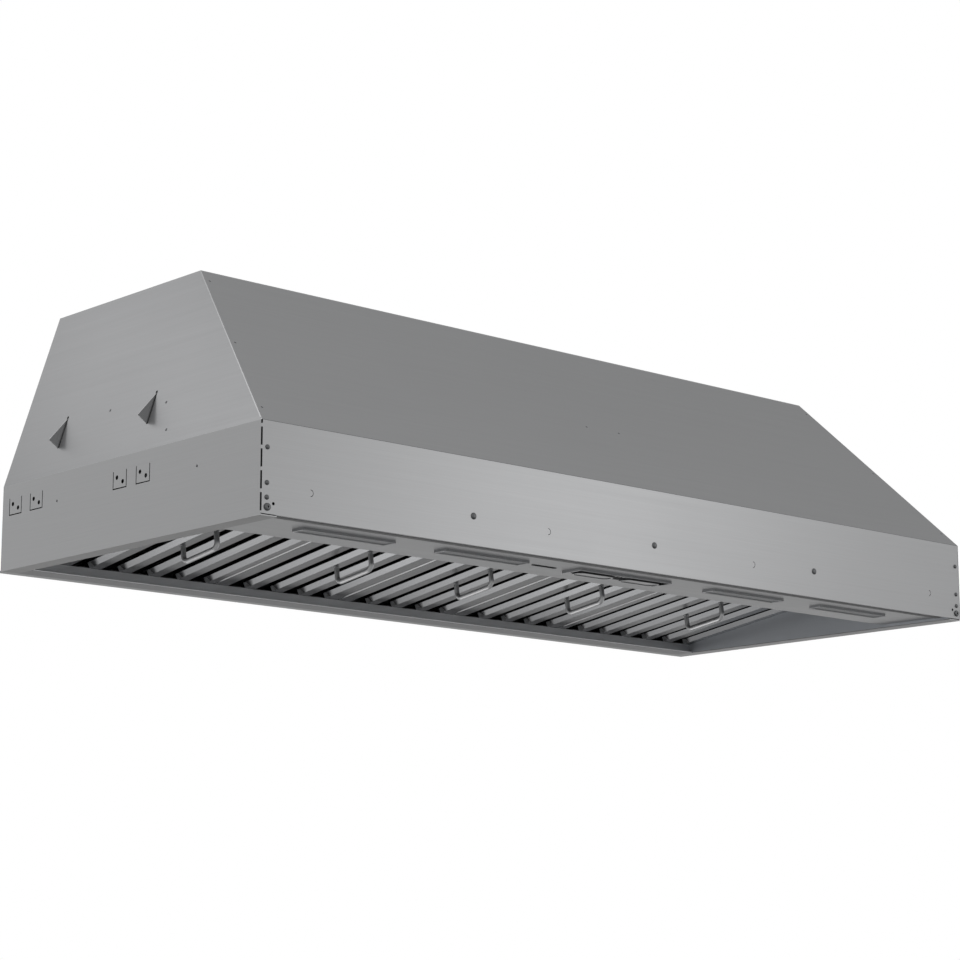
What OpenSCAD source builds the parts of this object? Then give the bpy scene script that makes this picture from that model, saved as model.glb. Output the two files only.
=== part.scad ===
// Range hood insert: a folded steel liner with five baffle filters, lamps, controls and a blower.
// Millimetres, +Z up, front face toward -Y. The origin is under the middle, level with the bottom rim.
// Inside the modules, y is counted from the outside of the front face.

/* [Canopy] */
// Width over the two sides
body_w = 1480; // [1300:10:1700]
// Depth from the front face to the rear wall
body_d = 634; // [600:2:720]
// Height of the top panel above the bottom rim
body_h = 404; // [390:2:460]
// Height of the upright skirt
skirt_h = 128; // [116:1:140]
// How far each end leans in at the top
end_inset = 89; // [70:1:110]
// How far the top front edge lies behind the front face
slope_run = 268; // [200:1:290]
// Width of the flange behind the rear wall
rear_flange = 14; // [8:1:24]
// Thickness of the canopy sheet
sheet_t = 1.5; // [1.2:0.1:2]
// Gap between the rim's level and the bottom edge of the front face
front_lift = 2.5; // [1:0.5:4]
// Width of the bottom lips at the two sides
lip_w = 28; // [24:1:34]
// Width of the hidden flanges that join the panels
seam_flange = 18; // [14:1:24]

/* [Corner slots] */
// Length of one slot in a folded corner
corner_slot_h = 24.5; // [18:0.5:26]
// Bridge of metal between two corner slots
corner_bridge = 4.8; // [3:0.2:8]
// Width of a corner slot on each face
corner_slot_w = 1.7; // [1.6:0.1:2.4]
// Height of the lowest corner slot above the rim
corner_slot_z = 5.5; // [4:0.5:10]

/* [Screw tabs] */
// Width of a knock-out screw tab
tab_w = 30.7; // [28:0.1:36]
// Height of a knock-out screw tab
tab_h = 24.4; // [22:0.1:28]
// Height of a tab's lower edge above the rim
tab_z = 83.2; // [74:0.2:86]
// Width of the slit round a tab
tab_slit = 1.7; // [0.8:0.1:2]
// Diameter of a tab's screw holes
tab_hole_d = 6.5; // [4:0.5:7]
// Distance between the two tabs of a pair
tab_pitch = 56.5; // [50:0.5:64]
// Distance of the front pair's middle from the front face
tab_front_y = 299.2; // [280:0.2:320]
// Distance of the rear pair's middle from the rear wall
tab_rear_in = 63; // [60:0.5:114]

/* [Front fasteners] */
// Diameter of the rivet heads on the face
rivet_d = 10; // [6:0.5:11]
// Diameter of the small rivets beside the corners
corner_rivet_d = 7; // [4:0.5:8]
// Diameter of the corner screw heads
corner_screw_d = 10.5; // [6:0.5:11]
// Height of the rivet and screw heads
head_h = 2.4; // [1:0.1:3]
// Spacing of the three rivets across the face
rivet_pitch = 365; // [300:5:380]
// Height of the face rivets above the rim
rivet_z = 44; // [38:1:50]
// Diameter of the trim screw holes near the bottom corners
trim_hole_d = 4.5; // [3:0.5:5]
// Distance of the trim screw holes from the sides
trim_hole_in = 21; // [18:1:26]
// Height of the trim screw holes above the rim
trim_hole_z = 17; // [15:1:22]

/* [Underside] */
// Depth of the flat strip behind the front face
strip_d = 145; // [135:1:165]
// Height of the strip's underside above the rim
strip_z = 5.5; // [4.5:0.5:9]
// Distance of the rear rail's upright from the rear wall
rail_in = 36; // [34:1:74]
// Height of the filters' seat at the rear rail's upright
rail_h = 15.1; // [12:0.1:24]
// Slope of the filters, rising to the front
filter_tilt = 8.5; // [5:0.1:10]

/* [Filters] */
// Width of the three middle filters
filter_w = 249.4; // [230:0.2:260]
// Gap between two filters
filter_seam = 0.8; // [0.6:0.1:1.5]
// Overall height of a filter's frame
filter_h = 32; // [26:1:40]
// Thickness of the filter sheet
filter_t = 1; // [0.8:0.1:1.2]
// Distance between two baffles
baffle_pitch = 54; // [50:0.5:58]
// Width of the flat bottom of a baffle
baffle_flat = 19; // [17:0.5:22]
// Horizontal run of a baffle's raised edge
baffle_run = 7.7; // [6:0.1:9]
// Height of a baffle's raised edge
baffle_rise = 6.2; // [5:0.1:8]
// Overlap of a filter on the rear rail
filter_rear_lap = 20; // [16:1:24]
// Overlap of a filter on the front rail
filter_front_lap = 15; // [12:1:18]
// How far a filter slides forward to be lifted out
filter_travel = 22; // [20:0.5:24]

/* [Filter handles] */
// Diameter of the handle rod
handle_d = 8; // [6:0.5:9]
// Distance between the two legs
handle_span = 83.4; // [74:0.2:100]
// Depth of the handle below its filter
handle_drop = 30; // [26:1:30]
// Bend radius of the rod's middle line
handle_bend = 10; // [8:0.5:12]
// Distance of the handle's middle from the filter's rear end
handle_setback = 214; // [200:1:240]

/* [Lamps] */
// Length of a lamp slot
lamp_w = 161; // [140:1:176]
// Width of a lamp slot
lamp_d = 22; // [20:1:28]
// Distance of the lamp slots from the front face
lamp_y = 64.5; // [58:0.5:70]
// Distance of the inner lamps from the middle, as a share of the width
lamp_inner_share = 0.1892; // [0.18:0.00002:0.21]
// Distance of the outer lamps from the middle, as a share of the width
lamp_outer_share = 0.36256; // [0.34:0.00002:0.366]
// Height of a lamp housing over the strip
lamp_h = 22; // [18:1:28]
// Thickness of the lens flange
lens_t = 2; // [1.5:0.1:3]
// How far the lens lies above the edge of its lip
lens_in = 1.2; // [0.8:0.1:2]

/* [Controls] */
// How far the turned lips round the lamps and the controls hang
slot_lip_h = 3.1; // [2.4:0.1:3.6]
// Width of the control opening
recess_w = 192; // [184:1:200]
// Distance of the control opening from the front face
recess_y = 60; // [50:1:66]
// Depth of the control opening, front to back
recess_d = 39; // [38:1:42]
// Height of the pan that holds the control board
pan_h = 16; // [14:1:20]
// Length of a push pad
pad_w = 77; // [68:1:80]
// Width of a push pad
pad_d = 26; // [24:1:28]
// Distance of the pads' middles from the middle of the plate
pad_x = 50; // [49:0.5:52]
// Distance of the pads' middles from the front of the opening
pad_in = 22; // [21.5:0.5:23]
// How far the pads hang below the plate
pad_drop = 4.2; // [3:0.1:5]
// Width of the rim round a pad's dish
pad_rim = 3; // [2:0.5:4]
// Depth of a pad's dish
pad_dish = 0.8; // [0.4:0.1:1.2]
// How far the pads and buttons press in
press_travel = 1.2; // [0.8:0.1:1.5]
// Diameter of a round button
button_d = 5; // [4:0.5:5.5]
// Distance between two round buttons
button_pitch = 8; // [7.5:0.5:8.5]
// Distance of the buttons from the front of the opening
button_in = 6; // [5.8:0.1:6.4]
// How far the buttons hang below the plate
button_drop = 2.4; // [1.5:0.1:3]

/* [Catches] */
// Distance of the front catches from the front face
catch_front_y = 284; // [270:1:320]
// Distance of the rear catches from the rear wall
catch_rear_in = 124; // [94:1:154]
// Height of a catch's pivot end above the rim
catch_z = 220; // [200:1:230]
// How far a catch stands out from the leaning panel
catch_out = 18; // [12:0.5:18]
// Length of a catch along the panel
catch_len = 52; // [44:1:54]
// Thickness of a catch
catch_t = 2; // [1.5:0.1:2.5]
// Width of the slit that a catch passes through
catch_slit = 4.6; // [4:0.1:5.4]

/* [Duct] */
// Outer diameter of the duct collar
collar_d = 254; // [203:1:254]
// Height of the collar above the top panel
collar_h = 25; // [22:1:40]
// Distance of the collar's middle from the rear wall
collar_rear = 150; // [148:1:160]
// Width of the collar's flange
collar_flange = 16; // [12:1:18]
// Diameter of the damper pin
damper_pin_d = 4; // [3:0.5:5]

/* [Blower] */
// Outer diameter of the blower wheel
wheel_d = 190; // [170:2:196]
// Length of the blower wheel
wheel_w = 156; // [140:2:160]
// Number of blades on the wheel
blade_count = 32; // [24:1:40]
// Outer diameter of the scroll housing
scroll_d = 250; // [240:2:260]
// Width of the scroll housing
scroll_w = 180; // [172:2:186]
// Diameter of the motor
motor_d = 96; // [84:2:104]
// Length of the motor
motor_l = 92; // [80:2:100]
// Diameter of the motor shaft
shaft_d = 10; // [8:0.5:12]

/* [Electrics] */
// Width of the junction box
box_w = 130; // [110:2:150]
// Depth of the junction box
box_d = 84; // [70:2:100]
// Height of the junction box
box_h = 48; // [40:2:56]
// Distance of the junction box from the middle
box_x = 330; // [280:5:380]
// Bore of the cable gland
gland_bore = 13; // [10:0.5:16]

/* [Hidden] */
$fn = 48;
// Overrun of cuts past the faces that they open
over = 1;
// Gap between a moving piece and its seat
seat_gap = 0.3;
// Radial play of a pin or shaft in its bore
pin_play = 0.05;
// Play between pieces that are dropped into place
drop_play = 0.2;

total_d = head_h + body_d + rear_flange;
front_y = head_h - total_d / 2;
reach = body_w + body_d + body_h;
slope_a = atan2(body_h - skirt_h, slope_run);
lean_a = atan2(end_inset, body_h - skirt_h);
bay_half = body_w / 2 - lip_w;
wall_y = body_d - sheet_t;

// Corner fasteners and stamped marks, seen from the front
corner_rivet_in = 10;
corner_rivet_z = [24.4, 44, 91.7];
corner_screw_in = 11;
corner_screw_z = 11.6;
head_edge = 0.4;
crescent_shares = [0.14865, 0.44392];
crescent_z = 39;
crescent_r = 5;
crescent_w = 0.9;
dimple_r = 2.4;
dimple_depth = 0.6;
side_dimple_y = [143.8, 487.7];
side_dimple_z = 86.4;
end_dimple_yz = [[228.3, 151.6], [250.5, 196.4], [395.5, 209.5]];
slope_dimple_in = 9;
slope_dimple_shares = [0.08, 0.5, 0.93];
slope_dimple_mid_x = 35;
slope_dimple_mid_share = 0.4;
tab_hole_off = 7.2;
tab_hole_low = 8;
tab_hole_rise = 7.2;

// Rails
rail_y = body_d - rail_in;
rail_foot = 4;
rail_hem_h = 3;
rail_hem_t = 1.2;
stop_h = 12;
liner_t = 1.2;
liner_top = skirt_h - sheet_t;
web_over = 6;

// Filters
filter_rear_y = rail_y + filter_rear_lap;
filter_rear_z = rail_h + seat_gap - filter_rear_lap * tan(filter_tilt);
filter_slide_gap = filter_travel + 5;
filter_front_y = strip_d + filter_slide_gap;
filter_len = (filter_rear_y - filter_front_y) / cos(filter_tilt);
filter_count = 5;
filter_cell = filter_w + filter_seam;
outer_filter_w = bay_half - 1.5 * filter_cell - filter_seam;
filter_edge = 2;
frame_lip = 10;
slot_end = 20;
baffle_gap = baffle_pitch - baffle_flat;
baffle_t = filter_t * sqrt(pow(baffle_run, 2) + pow(baffle_rise, 2)) / baffle_run;
upper_top = filter_h - 6;
min_margin = 12;

// Lamps
lamp_x = [for (share = [-lamp_outer_share, -lamp_inner_share, lamp_inner_share, lamp_outer_share])
    share * body_w];
lamp_wall = 1.2;
lamp_edge = 6;
lens_lap = 3;
lamp_room = lens_lap + drop_play;
sensor_w = 46;
sensor_d = 3;
sensor_x = -151;
sensor_y = 82;
driver_w = 190;
driver_d = 32;
driver_h = 24;
driver_y = 108;
driver_ear = 12;

// Controls
plate_front = recess_y + drop_play;
plate_rear = recess_y + recess_d - drop_play;
plate_half = recess_w / 2 - drop_play;
plate_top = strip_z + sheet_t;
plate_rim = 1;
pan_lap = 8;
pan_top = plate_top + pan_h;
pad_y = recess_y + pad_in;
button_y = recess_y + button_in;
pad_play = 0.35;
collar_lap = 1.2;
board_t = 1.6;
board_gap = 3.6;
board_z = plate_top + press_travel + board_gap;
board_post = 5;
switch_h = 1.4;
switch_r = 2.2;
button_count = 5;

// Catches, in the plane of the left end
catch_eye_r = 4.5;
catch_pin_r = 2;
catch_inset = sheet_t + catch_eye_r + 0.4;
catch_lug = 5;
catch_shift = (catch_slit - catch_t) / 2 - seat_gap;
catch_heel = 9;
bracket_t = 1.5;
bracket_gap = 4;
bracket_lap = 9;
catch_pin_head_r = 3.4;
catch_pin_head_t = 1.2;
spring_wall = 1.2;
spring_play = 0.3;

// Duct
duct_y = body_d - collar_rear;
collar_r = collar_d / 2;
stop_ring = 8;
damper_z = body_h + sheet_t + 6;
flap_t = 1;
flap_play = 1.2;
knuckle_r = damper_pin_d / 2 + 1.6;
knuckle_len = 30;
knuckle_gap = 0.6;

// Blower
blower_ahead = 54;
blower_drop = 167;
blower_y = duct_y - blower_ahead;
blower_z = body_h - blower_drop;
scroll_t = 1.2;
neck_d = 128;
neck_flange = 10;
inlet_d = wheel_d - 34;
blade_depth = 16;
blade_t = 1.6;
blade_a = 32;
wheel_ring_t = 2;
hub_t = 3;
hub_boss_r = 14;
hub_boss_l = 24;
bracket_ring = 6;
arm_w = 14;
arm_t = 3;
arm_count = 3;
motor_out = 14;
shaft_in = 60;

// Electrics
box_t = 1.2;
box_in = 130;
box_y = body_d - box_in;
cover_lap = 6;
gland_nut_r = 14;
gland_nut_h = 9;
gland_thread_r = 10;
gland_thread_l = 14;

steel = [0.62, 0.62, 0.63];
bright = [0.7, 0.7, 0.7];
dull = [0.42, 0.43, 0.44];
zinc = [0.55, 0.57, 0.58];
black = [0.07, 0.07, 0.08];
board_green = [0.1, 0.3, 0.18];
motor_grey = [0.3, 0.31, 0.33];

// Moves a piece from front-face coordinates into the part's frame
module from_front() {
    translate([0, front_y, 0]) children();
}

// Repeats a left piece on the right
module both_ends() {
    children();
    mirror([1, 0, 0]) children();
}

// A box given by its two corners
module block(low, high) {
    translate(low) cube(high - low);
}

// Everything between two depths behind the sloping front panel's outside
module slope_slab(near, far) {
    translate([0, 0, skirt_h]) rotate([slope_a, 0, 0])
        translate([-reach / 2, -reach / 2, -far]) cube([reach, reach, far - near]);
}

// Everything between two depths behind the left end panel's outside
module end_slab(near, far) {
    translate([-body_w / 2, 0, skirt_h]) rotate([0, lean_a, 0])
        translate([near, -reach / 2, -reach / 2]) cube([far - near, reach, reach]);
}

// The upper body's outer form between two heights and up to a depth
module upper_form(low, high, back) {
    difference() {
        block([-body_w / 2, 0, low], [body_w / 2, back, high]);
        slope_slab(-reach, 0);
        both_ends() end_slab(-reach, 0);
    }
}

// The upper body's form inside the sheet of the sloping panels
module upper_room(low, high, back, depth) {
    difference() {
        block([-body_w / 2, 0, low], [body_w / 2, back, high]);
        slope_slab(-reach, depth);
        both_ends() end_slab(-reach, depth);
    }
}

// A shallow round dimple, sunk along +X from the origin
module dimple() {
    ball_r = (pow(dimple_r, 2) + pow(dimple_depth, 2)) / (2 * dimple_depth);
    translate([dimple_depth - ball_r, 0, 0]) sphere(r = ball_r);
}

// A rounded bar outline with its middle at the origin
module pill(length, width) {
    square([length - width, width], center = true);
    for (side = [-1, 1]) translate([side * (length - width) / 2, 0]) circle(d = width);
}

// Slots along both folded corners of the skirt
module corner_slots() {
    count = floor((skirt_h - corner_slot_z) / (corner_slot_h + corner_bridge)) + 1;
    both_ends() for (i = [0 : count - 1]) {
        low = corner_slot_z + i * (corner_slot_h + corner_bridge);
        block([-body_w / 2 - over, -over, low],
            [-body_w / 2 + corner_slot_w, corner_slot_w, min(low + corner_slot_h, skirt_h + over)]);
    }
}

function tab_centres() = [for (pair = [tab_front_y, body_d - tab_rear_in], side = [-1, 1])
    pair + side * tab_pitch / 2];

// The U-shaped slit and two screw holes of each tab on the left side
module tab_cuts() {
    x0 = -body_w / 2 - over;
    x1 = -body_w / 2 + sheet_t + over;
    for (yc = tab_centres()) {
        block([x0, yc - tab_w / 2 - tab_slit, tab_z - tab_slit], [x1, yc + tab_w / 2 + tab_slit, tab_z]);
        for (side = [-1, 1])
            translate([0, yc + side * (tab_w + tab_slit) / 2 - tab_slit / 2, 0])
                block([x0, 0, tab_z - tab_slit], [x1, tab_slit, tab_z + tab_h]);
        for (side = [-1, 1])
            translate([x0, yc + side * tab_hole_off, tab_z + tab_hole_low + (side + 1) / 2 * tab_hole_rise])
                rotate([0, 90, 0]) cylinder(d = tab_hole_d, h = sheet_t + 2 * over);
    }
}

// Half-sheared crescents and trim screw holes in the front face
module face_cuts() {
    for (side = [-1, 1]) {
        for (share = crescent_shares)
            translate([side * share * body_w, -over, crescent_z]) rotate([-90, 0, 0])
                linear_extrude(sheet_t + 2 * over) intersection() {
                    difference() {
                        circle(r = crescent_r);
                        circle(r = crescent_r - crescent_w);
                    }
                    translate([0, -crescent_r]) square([crescent_r, 2 * crescent_r]);
                }
        translate([side * (body_w / 2 - trim_hole_in), -over, trim_hole_z]) rotate([-90, 0, 0])
            cylinder(d = trim_hole_d, h = sheet_t + 2 * over);
    }
}

module skirt_shell() {
    color(steel) from_front() difference() {
        union() {
            block([-body_w / 2, 0, front_lift], [body_w / 2, sheet_t, skirt_h]);
            both_ends() {
                block([-body_w / 2, 0, 0], [-body_w / 2 + sheet_t, wall_y, skirt_h]);
                block([-body_w / 2, 0, 0], [-bay_half, wall_y, sheet_t]);
            }
        }
        block([-body_w / 2 - over, -over, -over], [body_w / 2 + over, sheet_t, front_lift]);
        corner_slots();
        both_ends() {
            tab_cuts();
            for (y = side_dimple_y) translate([-body_w / 2, y, side_dimple_z]) dimple();
        }
        face_cuts();
    }
}

module front_slope_panel() {
    low_z = skirt_h - seam_flange;
    color(steel) from_front() difference() {
        union() {
            intersection() {
                upper_form(skirt_h, body_h - sheet_t, wall_y);
                slope_slab(0, sheet_t);
            }
            block([-body_w / 2 + 2 * sheet_t, sheet_t, low_z],
                [body_w / 2 - 2 * sheet_t, 2 * sheet_t, skirt_h]);
        }
        for (share = slope_dimple_shares)
            slope_dimples(share, body_w / 2 - end_inset * share - slope_dimple_in);
        slope_dimples(slope_dimple_mid_share, slope_dimple_mid_x);
    }
}

// A pair of dimples in the sloping panel, at a share of its height
module slope_dimples(share, x) {
    for (side = [-1, 1])
        translate([side * x, slope_run * share, skirt_h + (body_h - skirt_h) * share])
            rotate([slope_a, 0, 0]) rotate([0, 90, 0]) dimple();
}

// A point on the outside of the left end panel, moved in by a depth
function on_end(z, depth) = [
    -body_w / 2 + (z - skirt_h) * tan(lean_a) + depth * cos(lean_a),
    z - depth * sin(lean_a)];

module end_panel() {
    slit_low = catch_z - catch_len * cos(lean_a) - 3 * seat_gap;
    difference() {
        union() {
            difference() {
                intersection() {
                    upper_form(skirt_h, body_h - sheet_t, wall_y);
                    end_slab(0, sheet_t);
                }
                slope_slab(-over, sheet_t);
            }
            // The flange behind the sloping front panel
            difference() {
                intersection() {
                    upper_room(skirt_h, body_h - sheet_t, wall_y, sheet_t);
                    slope_slab(sheet_t, 2 * sheet_t);
                    end_slab(0, seam_flange);
                }
                block([-body_w / 2, 0, skirt_h - over], [body_w / 2, 2 * sheet_t, skirt_h + sheet_t]);
            }
            // The flange inside the top of the skirt
            block([-body_w / 2 + sheet_t, 2 * sheet_t, skirt_h - seam_flange],
                [-body_w / 2 + 2 * sheet_t, wall_y, skirt_h]);
            intersection() {
                upper_form(skirt_h, skirt_h + 2 * sheet_t, wall_y);
                block([-body_w / 2, 2 * sheet_t, skirt_h],
                    [-body_w / 2 + 2 * sheet_t, wall_y, skirt_h + 2 * sheet_t]);
            }
        }
        for (y = [catch_front_y, body_d - catch_rear_in])
            block([-body_w / 2, y - catch_slit / 2, slit_low],
                [-body_w / 2 + end_inset, y + catch_slit / 2, catch_z]);
        for (yz = end_dimple_yz) {
            p = on_end(yz[1], 0);
            translate([p[0], yz[0], p[1]]) rotate([0, lean_a, 0]) dimple();
        }
    }
}

module left_end_panel() {
    color(steel) from_front() end_panel();
}

module right_end_panel() {
    color(steel) from_front() mirror([1, 0, 0]) end_panel();
}

module rear_panel() {
    color(steel) from_front() union() {
        difference() {
            upper_form(0, body_h - sheet_t, body_d);
            block([-body_w, -over, -over], [body_w, wall_y, body_h]);
        }
        block([-body_w / 2, wall_y, 0], [body_w / 2, body_d + rear_flange, sheet_t]);
    }
}

module top_panel() {
    color(steel) from_front() difference() {
        upper_form(body_h - sheet_t, body_h, body_d);
        translate([0, duct_y, 0]) cylinder(r = collar_r - sheet_t, h = body_h + over);
        translate([-box_x, box_y, 0]) cylinder(r = gland_thread_r + drop_play, h = body_h + over);
    }
}

// The sheet round a slot, turned down at the slot's edges. The corners are those of the slot
module slot_lips(low, high) {
    block([low[0] - sheet_t, low[1] - sheet_t, strip_z - slot_lip_h],
        [high[0] + sheet_t, high[1], strip_z + sheet_t]);
}

// The slot itself, cut through the strip and its lips
module slot_cut(low, high) {
    block([low[0], low[1], strip_z - slot_lip_h - over], [high[0], high[1], strip_z + sheet_t + over]);
}

module front_strip() {
    recess_low = [-recess_w / 2, recess_y];
    recess_high = [recess_w / 2, recess_y + recess_d];
    color(steel) from_front() difference() {
        union() {
            block([-bay_half, sheet_t, strip_z], [bay_half, strip_d, strip_z + sheet_t]);
            for (x = lamp_x)
                slot_lips([x - lamp_w / 2, lamp_y], [x + lamp_w / 2, lamp_y + lamp_d + sheet_t]);
            slot_lips(recess_low, recess_high);
        }
        for (x = lamp_x) slot_cut([x - lamp_w / 2, lamp_y], [x + lamp_w / 2, lamp_y + lamp_d]);
        slot_cut(recess_low, recess_high);
        translate([sensor_x, sensor_y, 0]) linear_extrude(strip_z + sheet_t + over) pill(sensor_w, sensor_d);
    }
}

// Turns filter coordinates into front-face coordinates: y from the filter's rear end, z off its bottom
module in_filter_plane() {
    translate([0, filter_rear_y, filter_rear_z]) rotate([-filter_tilt, 0, 0]) children();
}

// A point beside the filters' side outline: a distance forward from the rear end, and one off the bottom
function beside_filter(ahead, off) = [
    filter_rear_y - ahead * cos(filter_tilt) + off * sin(filter_tilt),
    filter_rear_z + ahead * sin(filter_tilt) + off * cos(filter_tilt)];

// Height at a depth y of the plane that lies a distance off the filters' bottom
function seat_height(y, off) =
    filter_rear_z + (filter_rear_y - y) * tan(filter_tilt) + off / cos(filter_tilt);

// Extrudes a side outline, given as y and z, over the width between the liners
module across_bay() {
    rotate([90, 0, 90]) translate([0, 0, -bay_half]) linear_extrude(2 * bay_half) children();
}

module front_rail() {
    foot_z = strip_z + sheet_t;
    web_top = seat_height(strip_d, 0) + filter_h + web_over;
    color(zinc) from_front() across_bay() polygon([
        [strip_d - seam_flange, foot_z], [strip_d, foot_z],
        [strip_d, seat_height(strip_d, -seat_gap - sheet_t)],
        beside_filter(filter_len - filter_front_lap, -seat_gap - sheet_t),
        beside_filter(filter_len - filter_front_lap, -seat_gap),
        [strip_d, seat_height(strip_d, -seat_gap)], [strip_d, web_top],
        [strip_d - sheet_t, web_top], [strip_d - sheet_t, foot_z + sheet_t],
        [strip_d - seam_flange, foot_z + sheet_t]]);
}

module rear_rail() {
    foot_y = rail_y - rail_foot;
    color(steel) from_front() across_bay() polygon([
        [foot_y, 0], [wall_y, 0], [wall_y, sheet_t], [rail_y + sheet_t, sheet_t],
        [rail_y + sheet_t, seat_height(rail_y + sheet_t, -seat_gap - sheet_t)],
        [wall_y, seat_height(wall_y, -seat_gap - sheet_t)], [wall_y, seat_height(wall_y, -seat_gap)],
        beside_filter(-seat_gap - sheet_t, -seat_gap), beside_filter(-seat_gap - sheet_t, stop_h),
        beside_filter(-seat_gap, stop_h), beside_filter(-seat_gap, -seat_gap),
        [rail_y, seat_height(rail_y, -seat_gap)], [rail_y, sheet_t],
        [foot_y + rail_hem_t, sheet_t], [foot_y + rail_hem_t, rail_hem_h], [foot_y, rail_hem_h]]);
}

module liner() {
    union() {
        block([-bay_half - liner_t, 2 * sheet_t, sheet_t], [-bay_half, wall_y, liner_top]);
        block([-body_w / 2 + 2 * sheet_t, 2 * sheet_t, liner_top - liner_t], [-bay_half, wall_y, liner_top]);
    }
}

module left_liner() {
    color(dull) from_front() liner();
}

module right_liner() {
    color(dull) from_front() mirror([1, 0, 0]) liner();
}

module control_pan() {
    color(steel) from_front() difference() {
        union() {
            block([-plate_half, plate_front, plate_top], [plate_half, plate_rear, pan_top]);
            block([-plate_half - pan_lap, plate_front - pan_lap, plate_top],
                [plate_half + pan_lap, plate_rear + pan_lap, plate_top + sheet_t]);
        }
        block([-plate_half + sheet_t, plate_front + sheet_t, 0],
            [plate_half - sheet_t, plate_rear - sheet_t, pan_top - sheet_t]);
    }
}

// A plate level with the strip, with a low rim inside the lips at its front and sides
module control_plate() {
    rim_z = strip_z - slot_lip_h + seat_gap;
    color(black) from_front() difference() {
        block([-plate_half, plate_front, rim_z], [plate_half, plate_rear, plate_top]);
        block([-plate_half + plate_rim, plate_front + plate_rim, 0],
            [plate_half - plate_rim, plate_rear + over, strip_z]);
        for (side = [-1, 1])
            translate([side * pad_x, pad_y, 0]) linear_extrude(pan_top)
                pill(pad_w + 2 * pad_play, pad_d + 2 * pad_play);
        for (i = [0 : button_count - 1])
            translate([button_x(i), button_y, 0]) cylinder(d = button_d + 2 * pad_play, h = pan_top);
    }
}

function button_x(i) = (i - (button_count - 1) / 2) * button_pitch;

module control_board() {
    half = plate_half - sheet_t - drop_play;
    front = plate_front + sheet_t + drop_play;
    rear = plate_rear - sheet_t - drop_play;
    color(board_green) from_front() union() {
        block([-half, front, board_z], [half, rear, board_z + board_t]);
        for (x = [-half + board_post, half - board_post])
            translate([x, pad_y, board_z]) cylinder(d = board_post, h = pan_top - sheet_t - board_z);
        for (i = [0 : button_count - 1])
            translate([button_x(i), button_y, board_z - switch_h]) cylinder(r = switch_r, h = switch_h);
        for (side = [-1, 1])
            translate([side * pad_x, pad_y, board_z - switch_h]) cylinder(r = switch_r, h = switch_h);
    }
}

// The stem of a pad or button, from the plate's top to just under its switch on the board
module stem() {
    cylinder(r = switch_r, h = board_z - switch_h - press_travel - seat_gap - plate_top);
}

module pad(x) {
    translate([x, pad_y, 0]) {
        difference() {
            translate([0, 0, strip_z - pad_drop])
                linear_extrude(pad_drop + sheet_t + seat_gap) pill(pad_w, pad_d);
            linear_extrude(strip_z - pad_drop + pad_dish) pill(pad_w - 2 * pad_rim, pad_d - 2 * pad_rim);
        }
        translate([0, 0, plate_top + seat_gap]) linear_extrude(collar_lap)
            pill(pad_w + 2 * pad_play + collar_lap, pad_d + 2 * pad_play + collar_lap);
        translate([0, 0, plate_top]) stem();
    }
}

module fan_pad() {
    color(bright) from_front() pad(-pad_x);
}

module light_pad() {
    color(bright) from_front() pad(pad_x);
}

module button(i) {
    color(black) from_front() translate([button_x(i), button_y, 0]) {
        translate([0, 0, strip_z - button_drop])
            cylinder(d = button_d, h = sheet_t + button_drop + seat_gap);
        translate([0, 0, plate_top + seat_gap])
            cylinder(d = button_d + 2 * pad_play + collar_lap, h = collar_lap);
        translate([0, 0, plate_top]) stem();
    }
}

module lamp_housing(x) {
    base = strip_z + sheet_t;
    wall = lamp_room + lamp_wall;
    flange = lamp_room + lamp_edge;
    color(zinc) from_front() translate([x, lamp_y, 0]) difference() {
        union() {
            block([-lamp_w / 2 - wall, -wall, base], [lamp_w / 2 + wall, lamp_d + wall, base + lamp_h]);
            block([-lamp_w / 2 - flange, -flange, base],
                [lamp_w / 2 + flange, lamp_d + flange, base + lamp_wall]);
        }
        block([-lamp_w / 2 - lamp_room, -lamp_room, 0],
            [lamp_w / 2 + lamp_room, lamp_d + lamp_room, base + lamp_h - lamp_wall]);
    }
}

// A lens that fills its slot and rests on the strip with a flange
module lamp_lens(x) {
    base = strip_z + sheet_t;
    color([0.75, 0.77, 0.78]) from_front() translate([x, lamp_y, 0]) union() {
        block([-lamp_w / 2 + drop_play, drop_play, strip_z - slot_lip_h + lens_in],
            [lamp_w / 2 - drop_play, lamp_d - drop_play, base + lens_t]);
        block([-lamp_w / 2 - lens_lap, -lens_lap, base],
            [lamp_w / 2 + lens_lap, lamp_d + lens_lap, base + lens_t]);
    }
}

module lamp_driver() {
    base = strip_z + sheet_t;
    color(zinc) from_front() translate([(lamp_x[2] + lamp_x[3]) / 2, 0, base]) union() {
        block([-driver_w / 2, driver_y, 0], [driver_w / 2, driver_y + driver_d - seam_flange, driver_h]);
        block([-driver_w / 2 - driver_ear, driver_y, 0],
            [driver_w / 2 + driver_ear, driver_y + driver_d - seam_flange, box_t]);
    }
}

module junction_box() {
    top = body_h - sheet_t;
    color(zinc) from_front() translate([-box_x, box_y, 0]) difference() {
        block([-box_w / 2, -box_d / 2, top - box_h], [box_w / 2, box_d / 2, top]);
        block([-box_w / 2 + box_t, -box_d / 2 + box_t, 0],
            [box_w / 2 - box_t, box_d / 2 - box_t, top - box_t]);
        cylinder(r = gland_thread_r + drop_play, h = body_h);
    }
}

module junction_box_cover() {
    low = body_h - sheet_t - box_h;
    color(zinc) from_front() translate([-box_x, box_y, 0]) union() {
        block([-box_w / 2, -box_d / 2, low - box_t], [box_w / 2, box_d / 2, low]);
        block([-box_w / 2 + box_t + drop_play, -box_d / 2 + box_t + drop_play, low],
            [box_w / 2 - box_t - drop_play, -box_d / 2 + 2 * box_t + drop_play, low + cover_lap]);
    }
}

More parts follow.
